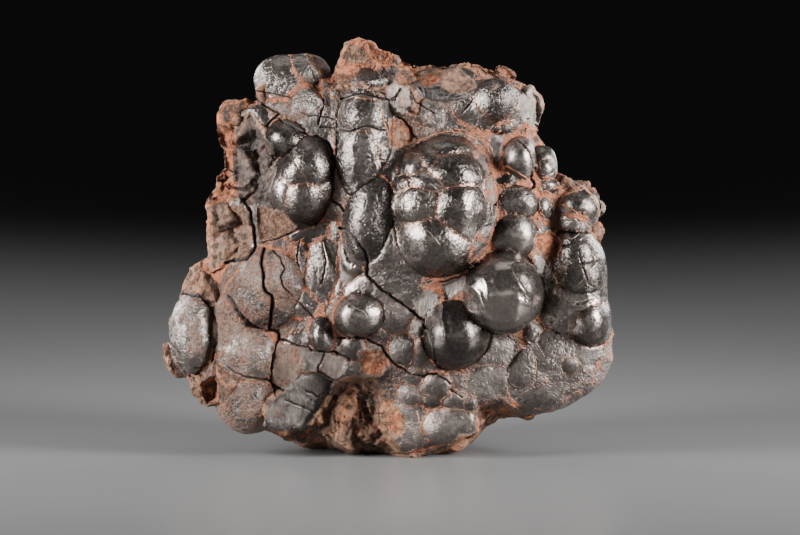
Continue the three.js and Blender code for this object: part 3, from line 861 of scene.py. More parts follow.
def add_crowd(shapes, random):
    """Small low caps that fill the room left between the named ones."""
    taken = [(*row[:4], finish) for groups in (LOBES, CAPS)
             for finish, rows in groups.values() for row in rows]
    for _ in range(CROWD_TRIES):
        x, y = random.uniform(*CROWD_X), random.uniform(*CROWD_Y)
        radius = random.choice(CROWD_SIZES)
        across, up = from_sheet(x, y)
        angle = math.atan2(up - MIDDLE, across)
        if math.hypot(across, up - MIDDLE) > outline_reach(angle) - 4:
            continue
        if any(math.hypot((x - a) / (w + 0.5 * radius), (y - b) / (h + 0.5 * radius)) < 1
               for a, b, w, h, _ in taken):
            continue
        shine, dust, rust, coarse = min(taken, key=lambda t: math.hypot(t[0] - x, t[1] - y))[4]
        finish = (min(shine, 1) * 0.8, min(dust + 0.1, 1), min(rust + 0.1, 1), coarse)
        width, height = radius * random.uniform(0.9, 1.4, 2)
        shapes.cap((x, y, width, height, random.uniform(-40, 40),
                    radius / PER_MM * random.uniform(0.12, 0.24)), finish)
        taken.append((x, y, radius * 0.8, radius * 0.8, finish))


def make_shapes():
    """All the shapes of the lump. Their order fixes how the random ones fall."""
    random = np.random.default_rng(5)
    shapes = Shapes(random)
    for finish, rows in LOBES.values():
        for row in rows:
            shapes.dome(row, finish)
    for finish, rows in CAPS.values():
        for row in rows:
            shapes.cap(row, finish)
    add_rim(shapes, random)
    add_sides(shapes, random)
    add_crowd(shapes, random)
    add_crags(shapes)
    shapes.close()
    return shapes


# ---- Mesh making ----

def surface_nets(values, origin, step):
    """A closed mesh of triangles around the grid's nodes where the values are below zero."""
    inside = values < 0
    cells = np.array(values.shape) - 1
    crossings, quads = [], []
    for axis in range(3):
        low = [slice(None)] * 3
        high = [slice(None)] * 3
        low[axis], high[axis] = slice(0, -1), slice(1, None)
        near, far = values[tuple(low)], values[tuple(high)]
        node = np.argwhere(inside[tuple(low)] != inside[tuple(high)])
        a, b = near[tuple(node.T)], far[tuple(node.T)]
        place = node.astype(float)
        place[:, axis] += a / (a - b)
        one, two = (axis + 1) % 3, (axis + 2) % 3
        around = []
        for back_one, back_two in ((0, 0), (1, 0), (1, 1), (0, 1)):
            cell = node.copy()
            cell[:, one] -= back_one
            cell[:, two] -= back_two
            around.append(np.ravel_multi_index(cell.T, cells))
        around = np.array(around).T
        crossings.append((around, place))
        flip = a > b
        around[flip] = around[flip][:, ::-1]
        quads.append(around)
    total = np.prod(cells)
    sums, counts = np.zeros((total, 3)), np.zeros(total)
    for around, place in crossings:
        for corner in range(4):
            counts += np.bincount(around[:, corner], minlength=total)
            for k in range(3):
                sums[:, k] += np.bincount(around[:, corner], place[:, k], minlength=total)
    used = np.flatnonzero(counts)
    number = np.full(total, -1)
    number[used] = np.arange(len(used))
    points = sums[used] / counts[used, None] * step + origin
    quads = number[np.concatenate(quads)]
    diagonal = [np.linalg.norm(points[quads[:, a]] - points[quads[:, a + 2]], axis=1)
                for a in (0, 1)]
    first = diagonal[0] < diagonal[1]
    one_way = np.concatenate([quads[first][:, [0, 1, 2]], quads[first][:, [0, 2, 3]]])
    other = np.concatenate([quads[~first][:, [0, 1, 3]], quads[~first][:, [1, 2, 3]]])
    return points, np.concatenate([one_way, other])


def edges_of(faces):
    """The mesh's edges, and for each face the number of the edge after each corner."""
    pairs = np.sort(np.stack([faces, np.roll(faces, -1, axis=1)], axis=2), axis=2).reshape(-1, 2)
    code = pairs[:, 0] * (faces.max() + 1) + pairs[:, 1]
    _, first, number = np.unique(code, return_index=True, return_inverse=True)
    return pairs[first], number.reshape(-1, 3)


def split_edges(points, faces, edges, face_edges, chosen, share):
    """Puts a point on each chosen edge, at its share of the way, and divides the faces."""
    new = np.full(len(edges), -1)
    new[chosen] = len(points) + np.arange(chosen.sum())
    ends = points[edges[chosen]]
    added = ends[:, 0] + (ends[:, 1] - ends[:, 0]) * share[chosen, None]
    points = np.concatenate([points, added])
    cut = chosen[face_edges]
    count = cut.sum(axis=1)
    out = [faces[count == 0]]
    for corner in range(3):
        turn = [(corner + k) % 3 for k in range(3)]
        one = (count == 1) & cut[:, corner]
        a, b, c = faces[one][:, turn].T
        m = new[face_edges[one, corner]]
        out += [np.stack([m, b, c], 1), np.stack([a, m, c], 1)]
        two = (count == 2) & ~cut[:, (corner + 2) % 3]
        a, b, c = faces[two][:, turn].T
        m = new[face_edges[two, corner]]
        n = new[face_edges[two, (corner + 1) % 3]]
        out.append(np.stack([m, b, n], 1))
        short = (np.linalg.norm(points[a] - points[n], axis=1)
                 < np.linalg.norm(points[m] - points[c], axis=1))
        other = ~short
        out += [np.stack([a[short], m[short], n[short]], 1),
                np.stack([a[short], n[short], c[short]], 1),
                np.stack([a[other], m[other], c[other]], 1),
                np.stack([m[other], n[other], c[other]], 1)]
    all_three = count == 3
    a, b, c = faces[all_three].T
    ab, bc, ca = new[face_edges[all_three]].T
    out += [np.stack(tri, 1) for tri in ((a, ab, ca), (ab, b, bc), (ca, bc, c), (ab, bc, ca))]
    return points, np.concatenate(out)


def normals_of(points, faces):
    """The normal at each point, from the faces around it."""
    corners = points[faces]
    area = np.cross(corners[:, 1] - corners[:, 0], corners[:, 2] - corners[:, 0])
    normal = np.zeros_like(points)
    for k in range(3):
        for axis in range(3):
            normal[:, axis] += np.bincount(faces[:, k], area[:, axis], minlength=len(points))
    return normal / np.maximum(np.linalg.norm(normal, axis=1, keepdims=True), 1e-12)


def neighbour_mean(values, edges):
    """The mean of each point's neighbours' values."""
    count = np.bincount(edges.ravel(), minlength=len(values))
    total = np.zeros_like(values)
    for one, other in ((0, 1), (1, 0)):
        for k in range(values.shape[1]):
            total[:, k] += np.bincount(edges[:, one], values[edges[:, other], k],
                                       minlength=len(values))
    return total / np.maximum(count, 1)[:, None]


def largest_piece(points, faces):
    """Keeps the one connected piece that has the most faces."""
    edges, _ = edges_of(faces)
    label = np.arange(len(points))
    while True:
        low = np.minimum(label[edges[:, 0]], label[edges[:, 1]])
        before = label.copy()
        np.minimum.at(label, edges[:, 0], low)
        np.minimum.at(label, edges[:, 1], low)
        label = label[label]
        if (label == before).all():
            break
    pieces, sizes = np.unique(label[faces[:, 0]], return_counts=True)
    keep = label[faces[:, 0]] == pieces[sizes.argmax()]
    used = np.unique(faces[keep])
    number = np.full(len(points), -1)
    number[used] = np.arange(len(used))
    return points[used], number[faces[keep]]


STRIDE = 0.8             # the furthest that a point moves in one step
STRAY = 1.2              # a point stays where it is if its crease is further off than this


def settle(shapes, points, rounds=4):
    """Moves each point onto the skin of the sheet that it belongs to."""
    for _ in range(rounds):
        label = shapes.field(points)[2]
        for _ in range(2):
            distance, normal = shapes.sheet(points, label)
            points = points - normal * np.clip(distance, -STRIDE, STRIDE)[:, None]
    return points


def relax(points, faces, still, amount=0.5, rounds=2):
    """Evens out the spacing of the points along the surface, without moving still ones."""
    edges, _ = edges_of(faces)
    for _ in range(rounds):
        normal = normals_of(points, faces)
        move = neighbour_mean(points, edges) - points
        move -= normal * np.einsum("ij,ij->i", move, normal)[:, None]
        move[still] = 0
        points = points + amount * move
    return points


def follow_creases(shapes, points, faces):
    """Puts the mesh's edges along the creases, where two sheets meet."""
    label = shapes.field(points)[2]
    edges, face_edges = edges_of(faces)
    a, b = edges.T
    differ = label[a] != label[b]
    gap = np.zeros((len(edges), 2))
    for k, end in enumerate((a, b)):
        own = shapes.sheet(points[end[differ]], label[a[differ]])[0]
        other = shapes.sheet(points[end[differ]], label[b[differ]])[0]
        gap[differ, k] = own - other
    crosses = differ & (gap[:, 0] * gap[:, 1] < 0)
    share = np.full(len(edges), 0.5)
    share[crosses] = gap[crosses, 0] / (gap[crosses, 0] - gap[crosses, 1])
    near_a, near_b = crosses & (share < 0.3), crosses & (share > 0.7)
    chosen = crosses & ~near_a & ~near_b
    pair = np.full((len(points), 2), -1)
    for near, end, other in ((near_a, a, b), (near_b, b, a)):
        pair[end[near]] = np.stack([label[end[near]], label[other[near]]], 1)
    # An edge with an end that moves onto its crease needs no point of its own.
    moved = pair[:, 0] >= 0
    chosen &= ~(moved[a] | moved[b])
    new_pair = np.stack([label[a[chosen]], label[b[chosen]]], 1)
    points, faces = split_edges(points, faces, edges, face_edges, chosen, share)
    pair = np.concatenate([pair, new_pair])
    on_crease = pair[:, 0] >= 0
    start = points[on_crease].copy()
    spot = start.copy()
    for _ in range(5):
        d1, n1 = shapes.sheet(spot, pair[on_crease, 0])
        d2, n2 = shapes.sheet(spot, pair[on_crease, 1])
        dot = np.einsum("ij,ij->i", n1, n2)
        room = np.maximum(1 - dot ** 2, 0.05)
        s1, s2 = (d1 - dot * d2) / room, (d2 - dot * d1) / room
        spot = spot - np.clip(s1, -1, 1)[:, None] * n1 - np.clip(s2, -1, 1)[:, None] * n2
    strayed = np.linalg.norm(spot - start, axis=1) > STRAY
    spot[strayed] = start[strayed]
    points[on_crease] = spot
    sharp = np.zeros(len(points))
    sharp[on_crease] = np.degrees(np.arccos(np.clip(dot, -1, 1)))
    return points, faces, sharp


def divide_long(points, faces, wanted):
    """Halves every edge longer than what is wanted at its middle."""
    edges, face_edges = edges_of(faces)
    ends = points[edges]
    length = np.linalg.norm(ends[:, 1] - ends[:, 0], axis=1)
    chosen = length > wanted(ends.mean(axis=1), edges)
    return split_edges(points, faces, edges, face_edges, chosen, np.full(len(edges), 0.5))


# How many steps long an edge may be: at the front, behind, and beside a line.
LONGEST_FINE, LONGEST_COARSE, LONGEST_BY_LINES = 1.35, 1.6, 0.62
LINE_SIDE = 0.8          # how far beside a line that is, in millimetres


def lump_surface(shapes, coarse, fine, drawn):
    """The surface of all the shapes: coarse at the back and sides, fine where it faces out."""
    low, high = np.array([-67.0, -5.0, -56.0]), np.array([67.0, 112.0, 27.0])
    counts = np.ceil((high - low) / coarse).astype(int) + 1
    grid = [low[k] + coarse * np.arange(counts[k]) for k in range(3)]
    nodes = np.stack(np.meshgrid(*grid, indexing="ij"), -1).reshape(-1, 3)
    values = shapes.field(nodes, margin=4.0)[0].reshape(counts)
    points, faces = surface_nets(values, low, coarse)
    points, faces = largest_piece(points, faces)
    still = np.zeros(len(points), bool)
    points = relax(settle(shapes, points), faces, still)
    points = settle(shapes, points, 2)

    def wanted(middle, edges):
        """The longest that an edge may be, from its middle and its ends."""
        normal = normals_of(points, faces)[edges].mean(axis=1)
        front = (middle[:, 2] > -5) & (normal[:, 2] > -0.15)
        return np.where(front, fine * LONGEST_FINE, coarse * LONGEST_COARSE)

    for _ in range(2):
        points, faces = divide_long(points, faces, wanted)
        points = settle(shapes, points, 2)
        points = relax(points, faces, np.zeros(len(points), bool))
        points = settle(shapes, points, 2)
    points, faces, sharp = follow_creases(shapes, points, faces)
    points = relax(points, faces, sharp > 0, rounds=1)

    def wanted_by_lines(middle, _):
        """The same near the cracks and veins, and without limit elsewhere."""
        near = line_distance(middle, drawn)[0][:, :FOLD].min(axis=1) < LINE_SIDE
        return np.where(near, fine * LONGEST_BY_LINES, np.inf)

    for _ in range(2):
        points, faces = divide_long(points, faces, wanted_by_lines)
    sharp = np.concatenate([sharp, np.zeros(len(points) - len(sharp))])
    return cut_along(points, faces, sharp, drawn)


# ---- Cracks, veins and broken patches ----

CRACK, PALE, ORANGE, FOLD = 0, 1, 2, 3
NO_LINE = 9.0            # the distance given where there is no line
LINES_BACK = -9          # no line goes further back than this
MARKED_HALF = 0.24       # the materials take every line to have this half width
CREASE_REACH = 4.0       # the distance given where there is no crease
# The near hollows guide where dust and rust gather; the deep hollows get painted shade.
HOLLOW_REACHES = (1.6, 5.0)    # how far out the near and the deep hollows are felt


def corners_of(text):
    """The places, on the face in millimetres, that a row of x,y places on the sheet names."""
    return np.array([from_sheet(*map(float, place.split(","))) for place in text.split()])


def draw_lines():
    """All the narrow lines: kind, half width, depth and places on the face."""
    drawn = [(CRACK, half, depth, corners_of(text)) for half, depth, rows in CRACKS for text in rows]
    for kind, half, rows in ((PALE, 0.11, PALE_VEINS), (ORANGE, 0.2, ORANGE_VEINS)):
        drawn += [(kind, half, 0.04, corners_of(text)) for text in rows]
    drawn += [(FOLD, half, -height, corners_of(text)) for half, height, rows in FOLDS
              for text in rows]
    around = np.linspace(0, 2 * math.pi, 17)
    for x, y, radius in RINGS:
        ring = np.stack(from_sheet(x + radius * np.cos(around), y + radius * np.sin(around)), 1)
        drawn.append((PALE, 0.15, 0.08, ring))
    return drawn


def wobbled(points):
    """Places on the face, shifted a little so that no line is straight."""
    flat = points * (1, 1, 0)
    shift = [0.22 * noise(flat, 1.9, seed) + 0.12 * noise(flat, 0.8, seed) for seed in (71, 72)]
    return points[:, :2] + np.stack(shift, 1)


def stretch_distance(places, start, end):
    """How far each place is from the straight stretch between two others."""
    along = end - start
    share = np.clip((places - start) @ along / (along @ along), 0, 1)
    return np.linalg.norm(places - start - share[:, None] * along, axis=1)


def stretches(places, drawn, reach):
    """Each stretch of each line: the line's number, the ends, and which places are near."""
    order = np.argsort(places[:, 0])
    across = places[order, 0]
    for number, (_, _, _, row) in enumerate(drawn):
        for start, end in zip(row[:-1], row[1:]):
            low, high = np.minimum(start, end) - reach, np.maximum(start, end) + reach
            near = order[np.searchsorted(across, low[0]):np.searchsorted(across, high[0])]
            near = near[(places[near, 1] > low[1]) & (places[near, 1] < high[1])]
            yield number, start, end, near


def line_distance(points, drawn):
    """The distance to the nearest line of each kind, and that line's number."""
    distance = np.full((len(points), 4), NO_LINE)
    nearest = np.zeros((len(points), 4), np.int64)
    front = np.flatnonzero(points[:, 2] > SKIN_BACK)
    places = wobbled(points[front])
    for number, start, end, near in stretches(places, drawn, 1.5):
        kind = drawn[number][0]
        away = stretch_distance(places[near], start, end)
        closer = away < distance[front[near], kind]
        there = front[near][closer]
        distance[there, kind] = away[closer]
        nearest[there, kind] = number
    return distance, nearest


def cut_along(points, faces, sharp, drawn):
    """Puts mesh edges along the middle of every line, by moving or adding points."""
    edges, face_edges = edges_of(faces)
    places = wobbled(points)
    share = np.full(len(edges), -1.0)
    front = np.flatnonzero(points[edges[:, 0], 2] > SKIN_BACK)
    middle = places[edges[front]].mean(axis=1)
    cut = [line for line in drawn if line[0] != FOLD]
    for _, start, end, near in stretches(middle, cut, 0.6):
        near = front[near]
        along = end - start
        first, last = places[edges[near]].transpose(1, 0, 2)
        side = [(ends - start) @ (-along[1], along[0]) for ends in (first, last)]
        cross = np.where(side[0] * side[1] < 0, side[0] / (side[0] - side[1] + 1e-12), -1)
        spot = first + cross[:, None] * (last - first)
        on = (spot - start) @ along / (along @ along)
        hit = (cross >= 0) & (on > -0.02) & (on < 1.02)
        share[near[hit]] = cross[hit]
    crosses = share >= 0
    moved = np.zeros(len(points), bool)
    for end, other, near, part in ((0, 1, crosses & (share < 0.25), share),
                                   (1, 0, crosses & (share > 0.75), 1 - share)):
        one, two = edges[near, end], edges[near, other]
        free = sharp[one] == 0
        one, two, step = one[free], two[free], part[near][free]
        points[one] += (points[two] - points[one]) * step[:, None]
        moved[one] = True
    chosen = crosses & ~moved[edges].any(axis=1)
    points, faces = split_edges(points, faces, edges, face_edges, chosen,
                                np.clip(share, 0.05, 0.95))
    return points, faces, np.concatenate([sharp, np.zeros(len(points) - len(sharp))])


def spread_creases(points, faces, sharp):
    """The distance along the skin to the nearest crease, and how sharp that crease is."""
    edges, _ = edges_of(faces)
    length = np.linalg.norm(points[edges[:, 0]] - points[edges[:, 1]], axis=1)
    away = np.where(sharp > 0, 0.0, CREASE_REACH)
    for _ in range(7):
        for one, other in ((0, 1), (1, 0)):
            reach = away[edges[:, one]] + length
            order = np.argsort(-reach)
            best, source = np.full(len(points), np.inf), np.zeros(len(points), np.int64)
            best[edges[order, other]] = reach[order]
            source[edges[order, other]] = edges[order, one]
            closer = best < away
            away = np.where(closer, best, away)
            sharp = np.where(closer, sharp[source], sharp)
    return away, sharp


def inside_distance(places, corners):
    """How far each place is inside a polygon, less than zero outside it."""
    nearest = np.full(len(places), np.inf)
    inside = np.zeros(len(places), bool)
    for start, end in zip(corners, np.roll(corners, -1, axis=0)):
        nearest = np.minimum(nearest, stretch_distance(places, start, end))
        level = (start[1] > places[:, 1]) != (end[1] > places[:, 1])
        along = end - start
        slope = along[0] / (along[1] if abs(along[1]) > 1e-9 else 1e-9)
        inside ^= level & (places[:, 0] < start[0] + (places[:, 1] - start[1]) * slope)
    return np.where(inside, nearest, -nearest)


def lay_patches(points, normal, values, patched):
    """Breaks the patches of the face: moves their points and gives them their finish."""
    places = wobbled(points)
    for (flat, depth, roughness, edge), finish, tone, text in PATCHES:
        corners = corners_of(text)
        near = np.flatnonzero((points[:, 2] > SKIN_BACK - 1) & (normal[:, 2] > 0.02)
                              & (places > corners.min(axis=0)).all(axis=1)
                              & (places < corners.max(axis=0)).all(axis=1))
        inside = inside_distance(places[near], corners)
        within = inside > -0.01
        near, inside = near[within], inside[within]
        if len(near) < 8:    # too few to lay a plane through
            continue
        centred = places[near] - places[near].mean(axis=0)
        table = np.concatenate([centred, np.ones((len(near), 1))], 1)
        plane = table @ np.linalg.lstsq(table, points[near, 2], rcond=None)[0]
        share = eased(np.clip(inside / edge, 0, 1))
        bumps = 0.7 * rough(points[near], 3.2, 81) - 0.8 * ridged(points[near], 1.7, 85)
        move = flat * (plane - points[near, 2]) - depth + roughness * bumps
        points[near, 2] += share * np.clip(move, -7, 3)
        values["finish"][near] = finish
        values["tone"][near] = tone
        values["crease"][near] = CREASE_REACH
        patched[near] = True


def add_detail(shapes, points, faces, sharp, drawn):
    """Moves the points in and out by the small relief of each kind of surface."""
    _, gap, label = shapes.field(points)
    kind = shapes.kind_of(label)
    on_foot = points @ DOWN > -0.05
    normal = normals_of(points, faces)
    crease, sharp = spread_creases(points, faces, sharp)
    finish = shapes.finish_of(points, label)
    rim = rim_of(points)
    worn = (kind == DOME) & (rim < 2.5) & (points[:, 1] < 30) & (points[:, 0] > 20)
    finish[worn | ((kind == SKIN_KIND) & (rim < 2))] = WORN
    coarse = finish[:, 3]
    smooth = kind != STONE
    waves = 0.12 * noise(points, 4.2, 31) + 0.06 * coarse * noise(points, 1.6, 33)
    crags = 0.65 * rough(points, 5.5, 41) + 0.35 * ridged(points, 2.4, 47)
    height = np.where(smooth, waves, crags)
    # The skin bridges the deep creases between lobes a little.
    fill = np.where(smooth, np.clip(1 - gap / 2.8, 0, 1) ** 2, 0)
    height += 0.7 * fill
    height[on_foot] = 0
    moved = points + normal * height[:, None]
    tones = np.random.default_rng(3).uniform(-1, 1, 4096)
    values = {"finish": finish, "tone": tones[label % len(tones)], "crease": crease}
    patched = np.zeros(len(points), bool)
    lay_patches(moved, normal, values, patched)
    distance, nearest = line_distance(points, drawn)
    distance[points[:, 2] < LINES_BACK] = NO_LINE
    shape = np.array([(half, depth) for _, half, depth, _ in drawn])
    for line in (CRACK, PALE, ORANGE, FOLD):
        half, depth = shape[nearest[:, line]].T
        groove = np.clip(1 - distance[:, line] / (half + 0.12), 0, 1)
        if line == FOLD:
            groove = eased(groove)
        moved -= normal * (groove * depth)[:, None]
        distance[:, line] *= MARKED_HALF / np.maximum(half, 0.05)
    under = moved @ DOWN
    moved -= np.maximum(under, 0)[:, None] * DOWN
    # hollow guides where dust and rust gather; deep is the mask of painted shade in the deep hollows.
    hollow, deep = (1 - np.clip(shapes.field(moved + normal * far)[0] / far, 0, 1)
                    for far in HOLLOW_REACHES)
    vein = distance[:, PALE:FOLD].min(axis=1)
    return moved, patched, {
        "marks": np.stack([values["crease"], distance[:, CRACK], vein], 1),
        "hollows": np.stack([hollow, deep, values["tone"]], 1),
        "skin": values["finish"][:, :3],
        "coarse": values["finish"][:, 3],
        "sharp": np.clip(sharp / 60, 0, 1),
        "orange": (distance[:, ORANGE] < distance[:, PALE]).astype(float),
    }


def to_world(points):
    """From the face, in millimetres, to the world in metres."""
    lean = math.radians(LEAN)
    across, up, out = points.T
    return np.stack([across + SET_ASIDE,
                     -out * math.cos(lean) + up * math.sin(lean) - SET_FORWARD,
                     up * math.cos(lean) + out * math.sin(lean)], 1) * MM


# ---- Materials ----

VALUE, COLOUR, PLACE = "NodeSocketFloat", "NodeSocketColor", "NodeSocketVector"


class Graph:
    """A short way to add nodes to a node tree and join them."""

    def __init__(self, tree):
        self.tree = tree

    def add(self, kind, inputs=None, **settings):
        """A new node, with its inputs given and its settings set."""
        node = self.tree.nodes.new(kind)
        for name, value in settings.items():
            setattr(node, name, value)
        self.fill(node, inputs or {})
        return node

    def fill(self, node, inputs):
        """Gives a node its inputs, by name or number."""
        for name, value in inputs.items():
            self.give(node.inputs[name], value)

    def give(self, socket, value):
        """Joins another node's output to a socket, or sets its value."""
        if isinstance(value, bpy.types.NodeSocket):
            self.tree.links.new(value, socket)
        else:
            socket.default_value = value

    def math(self, operation, *values):
        """The result of a sum, product or other operation."""
        return self.add("ShaderNodeMath", dict(enumerate(values)), operation=operation).outputs[0]

    def times(self, first, second):
        """One value times another."""
        return self.math("MULTIPLY", first, second)

    def mix(self, share, first, second, data_type="RGBA", ending="Color"):
        """A mix of two colours."""
        node = self.add("ShaderNodeMix", data_type=data_type)
        sockets = {socket.identifier: socket for socket in (*node.inputs, *node.outputs)}
        for name, value in (("Factor_Float", share), ("A_" + ending, first), ("B_" + ending, second)):
            self.give(sockets[name], value)
        return sockets["Result_" + ending]

    def blend(self, share, first, second):
        """A mix of two values."""
        return self.mix(share, first, second, "FLOAT", "Float")

    def between(self, value, low, high, to_low=0.0, to_high=1.0):
        """Eases from to_low to to_high while the value goes from low to high."""
        node = self.add("ShaderNodeMapRange", {
            "Value": value, "From Min": low, "From Max": high, "To Min": to_low,
            "To Max": to_high}, interpolation_type="SMOOTHSTEP")
        return node.outputs["Result"]

    def noise(self, place, per_metre, detail=3.0, roughness=0.55, distortion=0.0):
        """Noise of about 0 to 1 with this many lumps in a metre."""
        return self.add("ShaderNodeTexNoise", {
            "Vector": place, "Scale": per_metre, "Detail": detail, "Roughness": roughness,
            "Distortion": distortion}).outputs["Fac"]


def make_group(name, inputs, outputs, build):
    """A shader node group. Inputs are name, socket type and default; build returns its outputs."""
    tree = bpy.data.node_groups.new(name, "ShaderNodeTree")
    for label, kind, default in inputs:
        socket = tree.interface.new_socket(label, in_out="INPUT", socket_type=kind)
        if default is not None:
            socket.default_value = default
    for label, kind in outputs:
        tree.interface.new_socket(label, in_out="OUTPUT", socket_type=kind)
    graph = Graph(tree)
    entry = graph.add("NodeGroupInput")
    result = build(graph, entry.outputs)
    graph.add("NodeGroupOutput", dict(zip([label for label, _ in outputs], result)))
    return tree


def patches_group():
    """Ragged patches that cover about Amount of the surface."""
    def build(graph, given):
        broad = graph.noise(given["Place"], given["Scale"], 5.0, 0.62)
        low = graph.math("SUBTRACT", 0.80, graph.times(given["Amount"], 0.62))
        high = graph.math("ADD", low, given["Softness"])
        return [graph.between(broad, low, high)]
    return make_group("Ragged patches", [
        ("Place", PLACE, None), ("Scale", VALUE, 300.0),
        ("Amount", VALUE, 0.5), ("Softness", VALUE, 0.12),
    ], [("Mask", VALUE)], build)


def grain_group():
    """Fine relief in millimetres: grain, orange peel and thin glaze cracks."""
    def build(graph, given):
        place = given["Place"]
        grain = graph.times(graph.noise(place, 2200.0, 4.0, 0.6), given["Grain"])
        peel = graph.times(graph.noise(place, 1100.0, 2.0, 0.6, 0.6), given["Peel"])
        bent = graph.times(graph.noise(place, 500.0, 2.0), 0.002)
        cells = graph.add("ShaderNodeTexVoronoi", {
            "Vector": graph.add("ShaderNodeVectorMath", {0: place, 1: bent},
                                operation="ADD").outputs[0],
            "Scale": 420.0}, feature="DISTANCE_TO_EDGE").outputs["Distance"]
        line = graph.between(cells, 0.0, 0.1, 1.0, 0.0)
        line = graph.times(line, given["Glaze"])
        return [graph.math("SUBTRACT", graph.math("ADD", grain, peel), line)]
    return make_group("Mineral grain", [
        ("Place", PLACE, None), ("Grain", VALUE, 0.02),
        ("Peel", VALUE, 0.05), ("Glaze", VALUE, 0.0),
    ], [("Height", VALUE)], build)


def coat_group(patches):
    """Lays dust, rust and veins over a bare colour, and painted shade in the deep hollows and cracks."""
    def build(graph, given):
        place = given["Place"]

        def patch(scale, amount):
            return graph.add("ShaderNodeGroup", {
                "Place": place, "Scale": scale, "Amount": amount, "Softness": 0.25,
            }, node_tree=patches).outputs["Mask"]

        crease, hollow, rust_share = given["Crease"], given["Hollow"], given["Rust"]
        waver = graph.between(graph.noise(place, 900.0, 2.0), 0.3, 0.7, 0.6, 1.5)
        crease = graph.times(crease, waver)
        # Dust lies in patches, and in grains within them.
        grains = graph.between(graph.noise(place, 1700.0, 3.0, 0.7), 0.38, 0.6)
        dust = patch(230.0, graph.math("MULTIPLY_ADD", hollow, 0.3, given["Dust"]))
        dust = graph.times(dust, graph.math("MULTIPLY_ADD", grains, 0.85, 0.15))
        # Dark specks in the dust: partly dark skin showing through, partly painted shade of small pits.
        specks = graph.times(dust, graph.between(
            graph.noise(place, 1150.0, 4.0, 0.65), 0.44, 0.54, 0.9, 0.0))
        close = graph.times(graph.between(crease, 0.1, 1.4, 1.0, 0.0),
                           graph.between(given["Sharpness"], 0.1, 0.8, 0.0, 0.35))
        colour = graph.mix(graph.math("MAXIMUM", dust, close), given["Bare"],
                           given["Dust colour"])
        colour = graph.mix(specks, colour, (0.030, 0.018, 0.013, 1))
        # Rust spreads from the creases, and a thin line of it fills each of them.
        near = graph.times(graph.between(crease, 0.15, 1.9, 1.0, 0.0),
                          graph.between(given["Sharpness"], 0.1, 0.8))
        spread = graph.math("MULTIPLY_ADD", graph.math("MAXIMUM", near, hollow), 1.3, graph.between(
            rust_share, 0.5, 1.0, 0.12, 0.6))
        rust = patch(420.0, graph.times(rust_share, spread))
        rusty = graph.mix(graph.between(graph.noise(place, 700.0, 3.0), 0.35, 0.65),
                          given["Rust colour"], given["Dark rust"])
        colour = graph.mix(graph.times(rust, 0.85), colour, rusty)
        seam = graph.times(graph.between(rust_share, 0.1, 0.7, 0.12, 0.8),
                           graph.between(given["Sharpness"], 0.1, 0.8, 0.2, 1.0))
        seam = graph.times(graph.between(crease, 0.05, 0.22, 1.0, 0.0), seam)
        colour = graph.mix(seam, colour, graph.mix(0.5, given["Rust colour"],
                                                   given["Dust colour"]))
        vein = graph.between(graph.times(given["Vein"], waver), 0.06, 0.3, 1.0, 0.0)
        vein_colour = graph.mix(given["Orange"], (0.15, 0.10, 0.075, 1), (0.34, 0.11, 0.025, 1))
        vein = graph.times(vein, graph.blend(given["Orange"], 0.6, 0.9))
        colour = graph.mix(vein, colour, vein_colour)
        beside = graph.times(graph.between(given["Crack"], 0.1, 1.0, 0.5, 0.0),
                            rust_share)
        colour = graph.mix(beside, colour, rusty)
        # Painted shade: the deep hollows are darkened towards near black.
        colour = graph.mix(graph.between(given["Deep"], 0.35, 0.95, 0.0, 0.55), colour,
                           (0.014, 0.009, 0.007, 1))
        # Painted shade: each crack and its walls are painted near black.
        crack = graph.between(given["Crack"], 0.15, 0.5, 1.0, 0.0)
        colour = graph.mix(graph.times(crack, 0.97), colour, (0.006, 0.004, 0.003, 1))
        dull = graph.math("MAXIMUM", graph.math("MAXIMUM", dust, rust),
                          graph.math("MAXIMUM", graph.math("MAXIMUM", vein, crack), seam))
        return [colour, dull]
    return make_group("Dust, rust and painted shade", [
        ("Place", PLACE, None), ("Bare", COLOUR, (0.2, 0.2, 0.2, 1)),
        ("Dust colour", COLOUR, (0.4, 0.3, 0.25, 1)), ("Rust colour", COLOUR, (0.5, 0.2, 0.1, 1)),
        ("Dark rust", COLOUR, (0.2, 0.08, 0.04, 1)), ("Dust", VALUE, 0.3),
        ("Rust", VALUE, 0.3), ("Hollow", VALUE, 0.0), ("Crease", VALUE, 2.0),
        ("Crack", VALUE, 9.0), ("Vein", VALUE, 9.0), ("Orange", VALUE, 0.0),
        ("Sharpness", VALUE, 0.5), ("Deep", VALUE, 0.0),
    ], [("Colour", COLOUR), ("Dull", VALUE)], build)


def begin_material(name):
    """A material with nothing but its shader, and the graph to build it with."""
    material = bpy.data.materials.new(name)
    material.use_nodes = True
    graph = Graph(material.node_tree)
    material.node_tree.nodes.clear()
    shader = graph.add("ShaderNodeBsdfPrincipled")
    graph.add("ShaderNodeOutputMaterial", {"Surface": shader.outputs["BSDF"]})
    return material, graph, shader


def read_attributes(graph):
    """The values that the mesh carries, by name."""
    values = {"place": graph.add("ShaderNodeTexCoord").outputs["Object"]}
    # deep carries the mask of painted shade in the deep hollows.
    for name, parts in (("marks", ("crease", "crack", "vein")),
                        ("hollows", ("hollow", "deep", "tone")),
                        ("skin", ("shine", "dust", "rust"))):
        split = graph.add("ShaderNodeSeparateXYZ", {
            "Vector": graph.add("ShaderNodeAttribute", attribute_name=name).outputs["Vector"]})
        values.update(zip(parts, split.outputs))
    for name in ("coarse", "sharp", "orange"):
        values[name] = graph.add("ShaderNodeAttribute", attribute_name=name).outputs["Fac"]
    return values


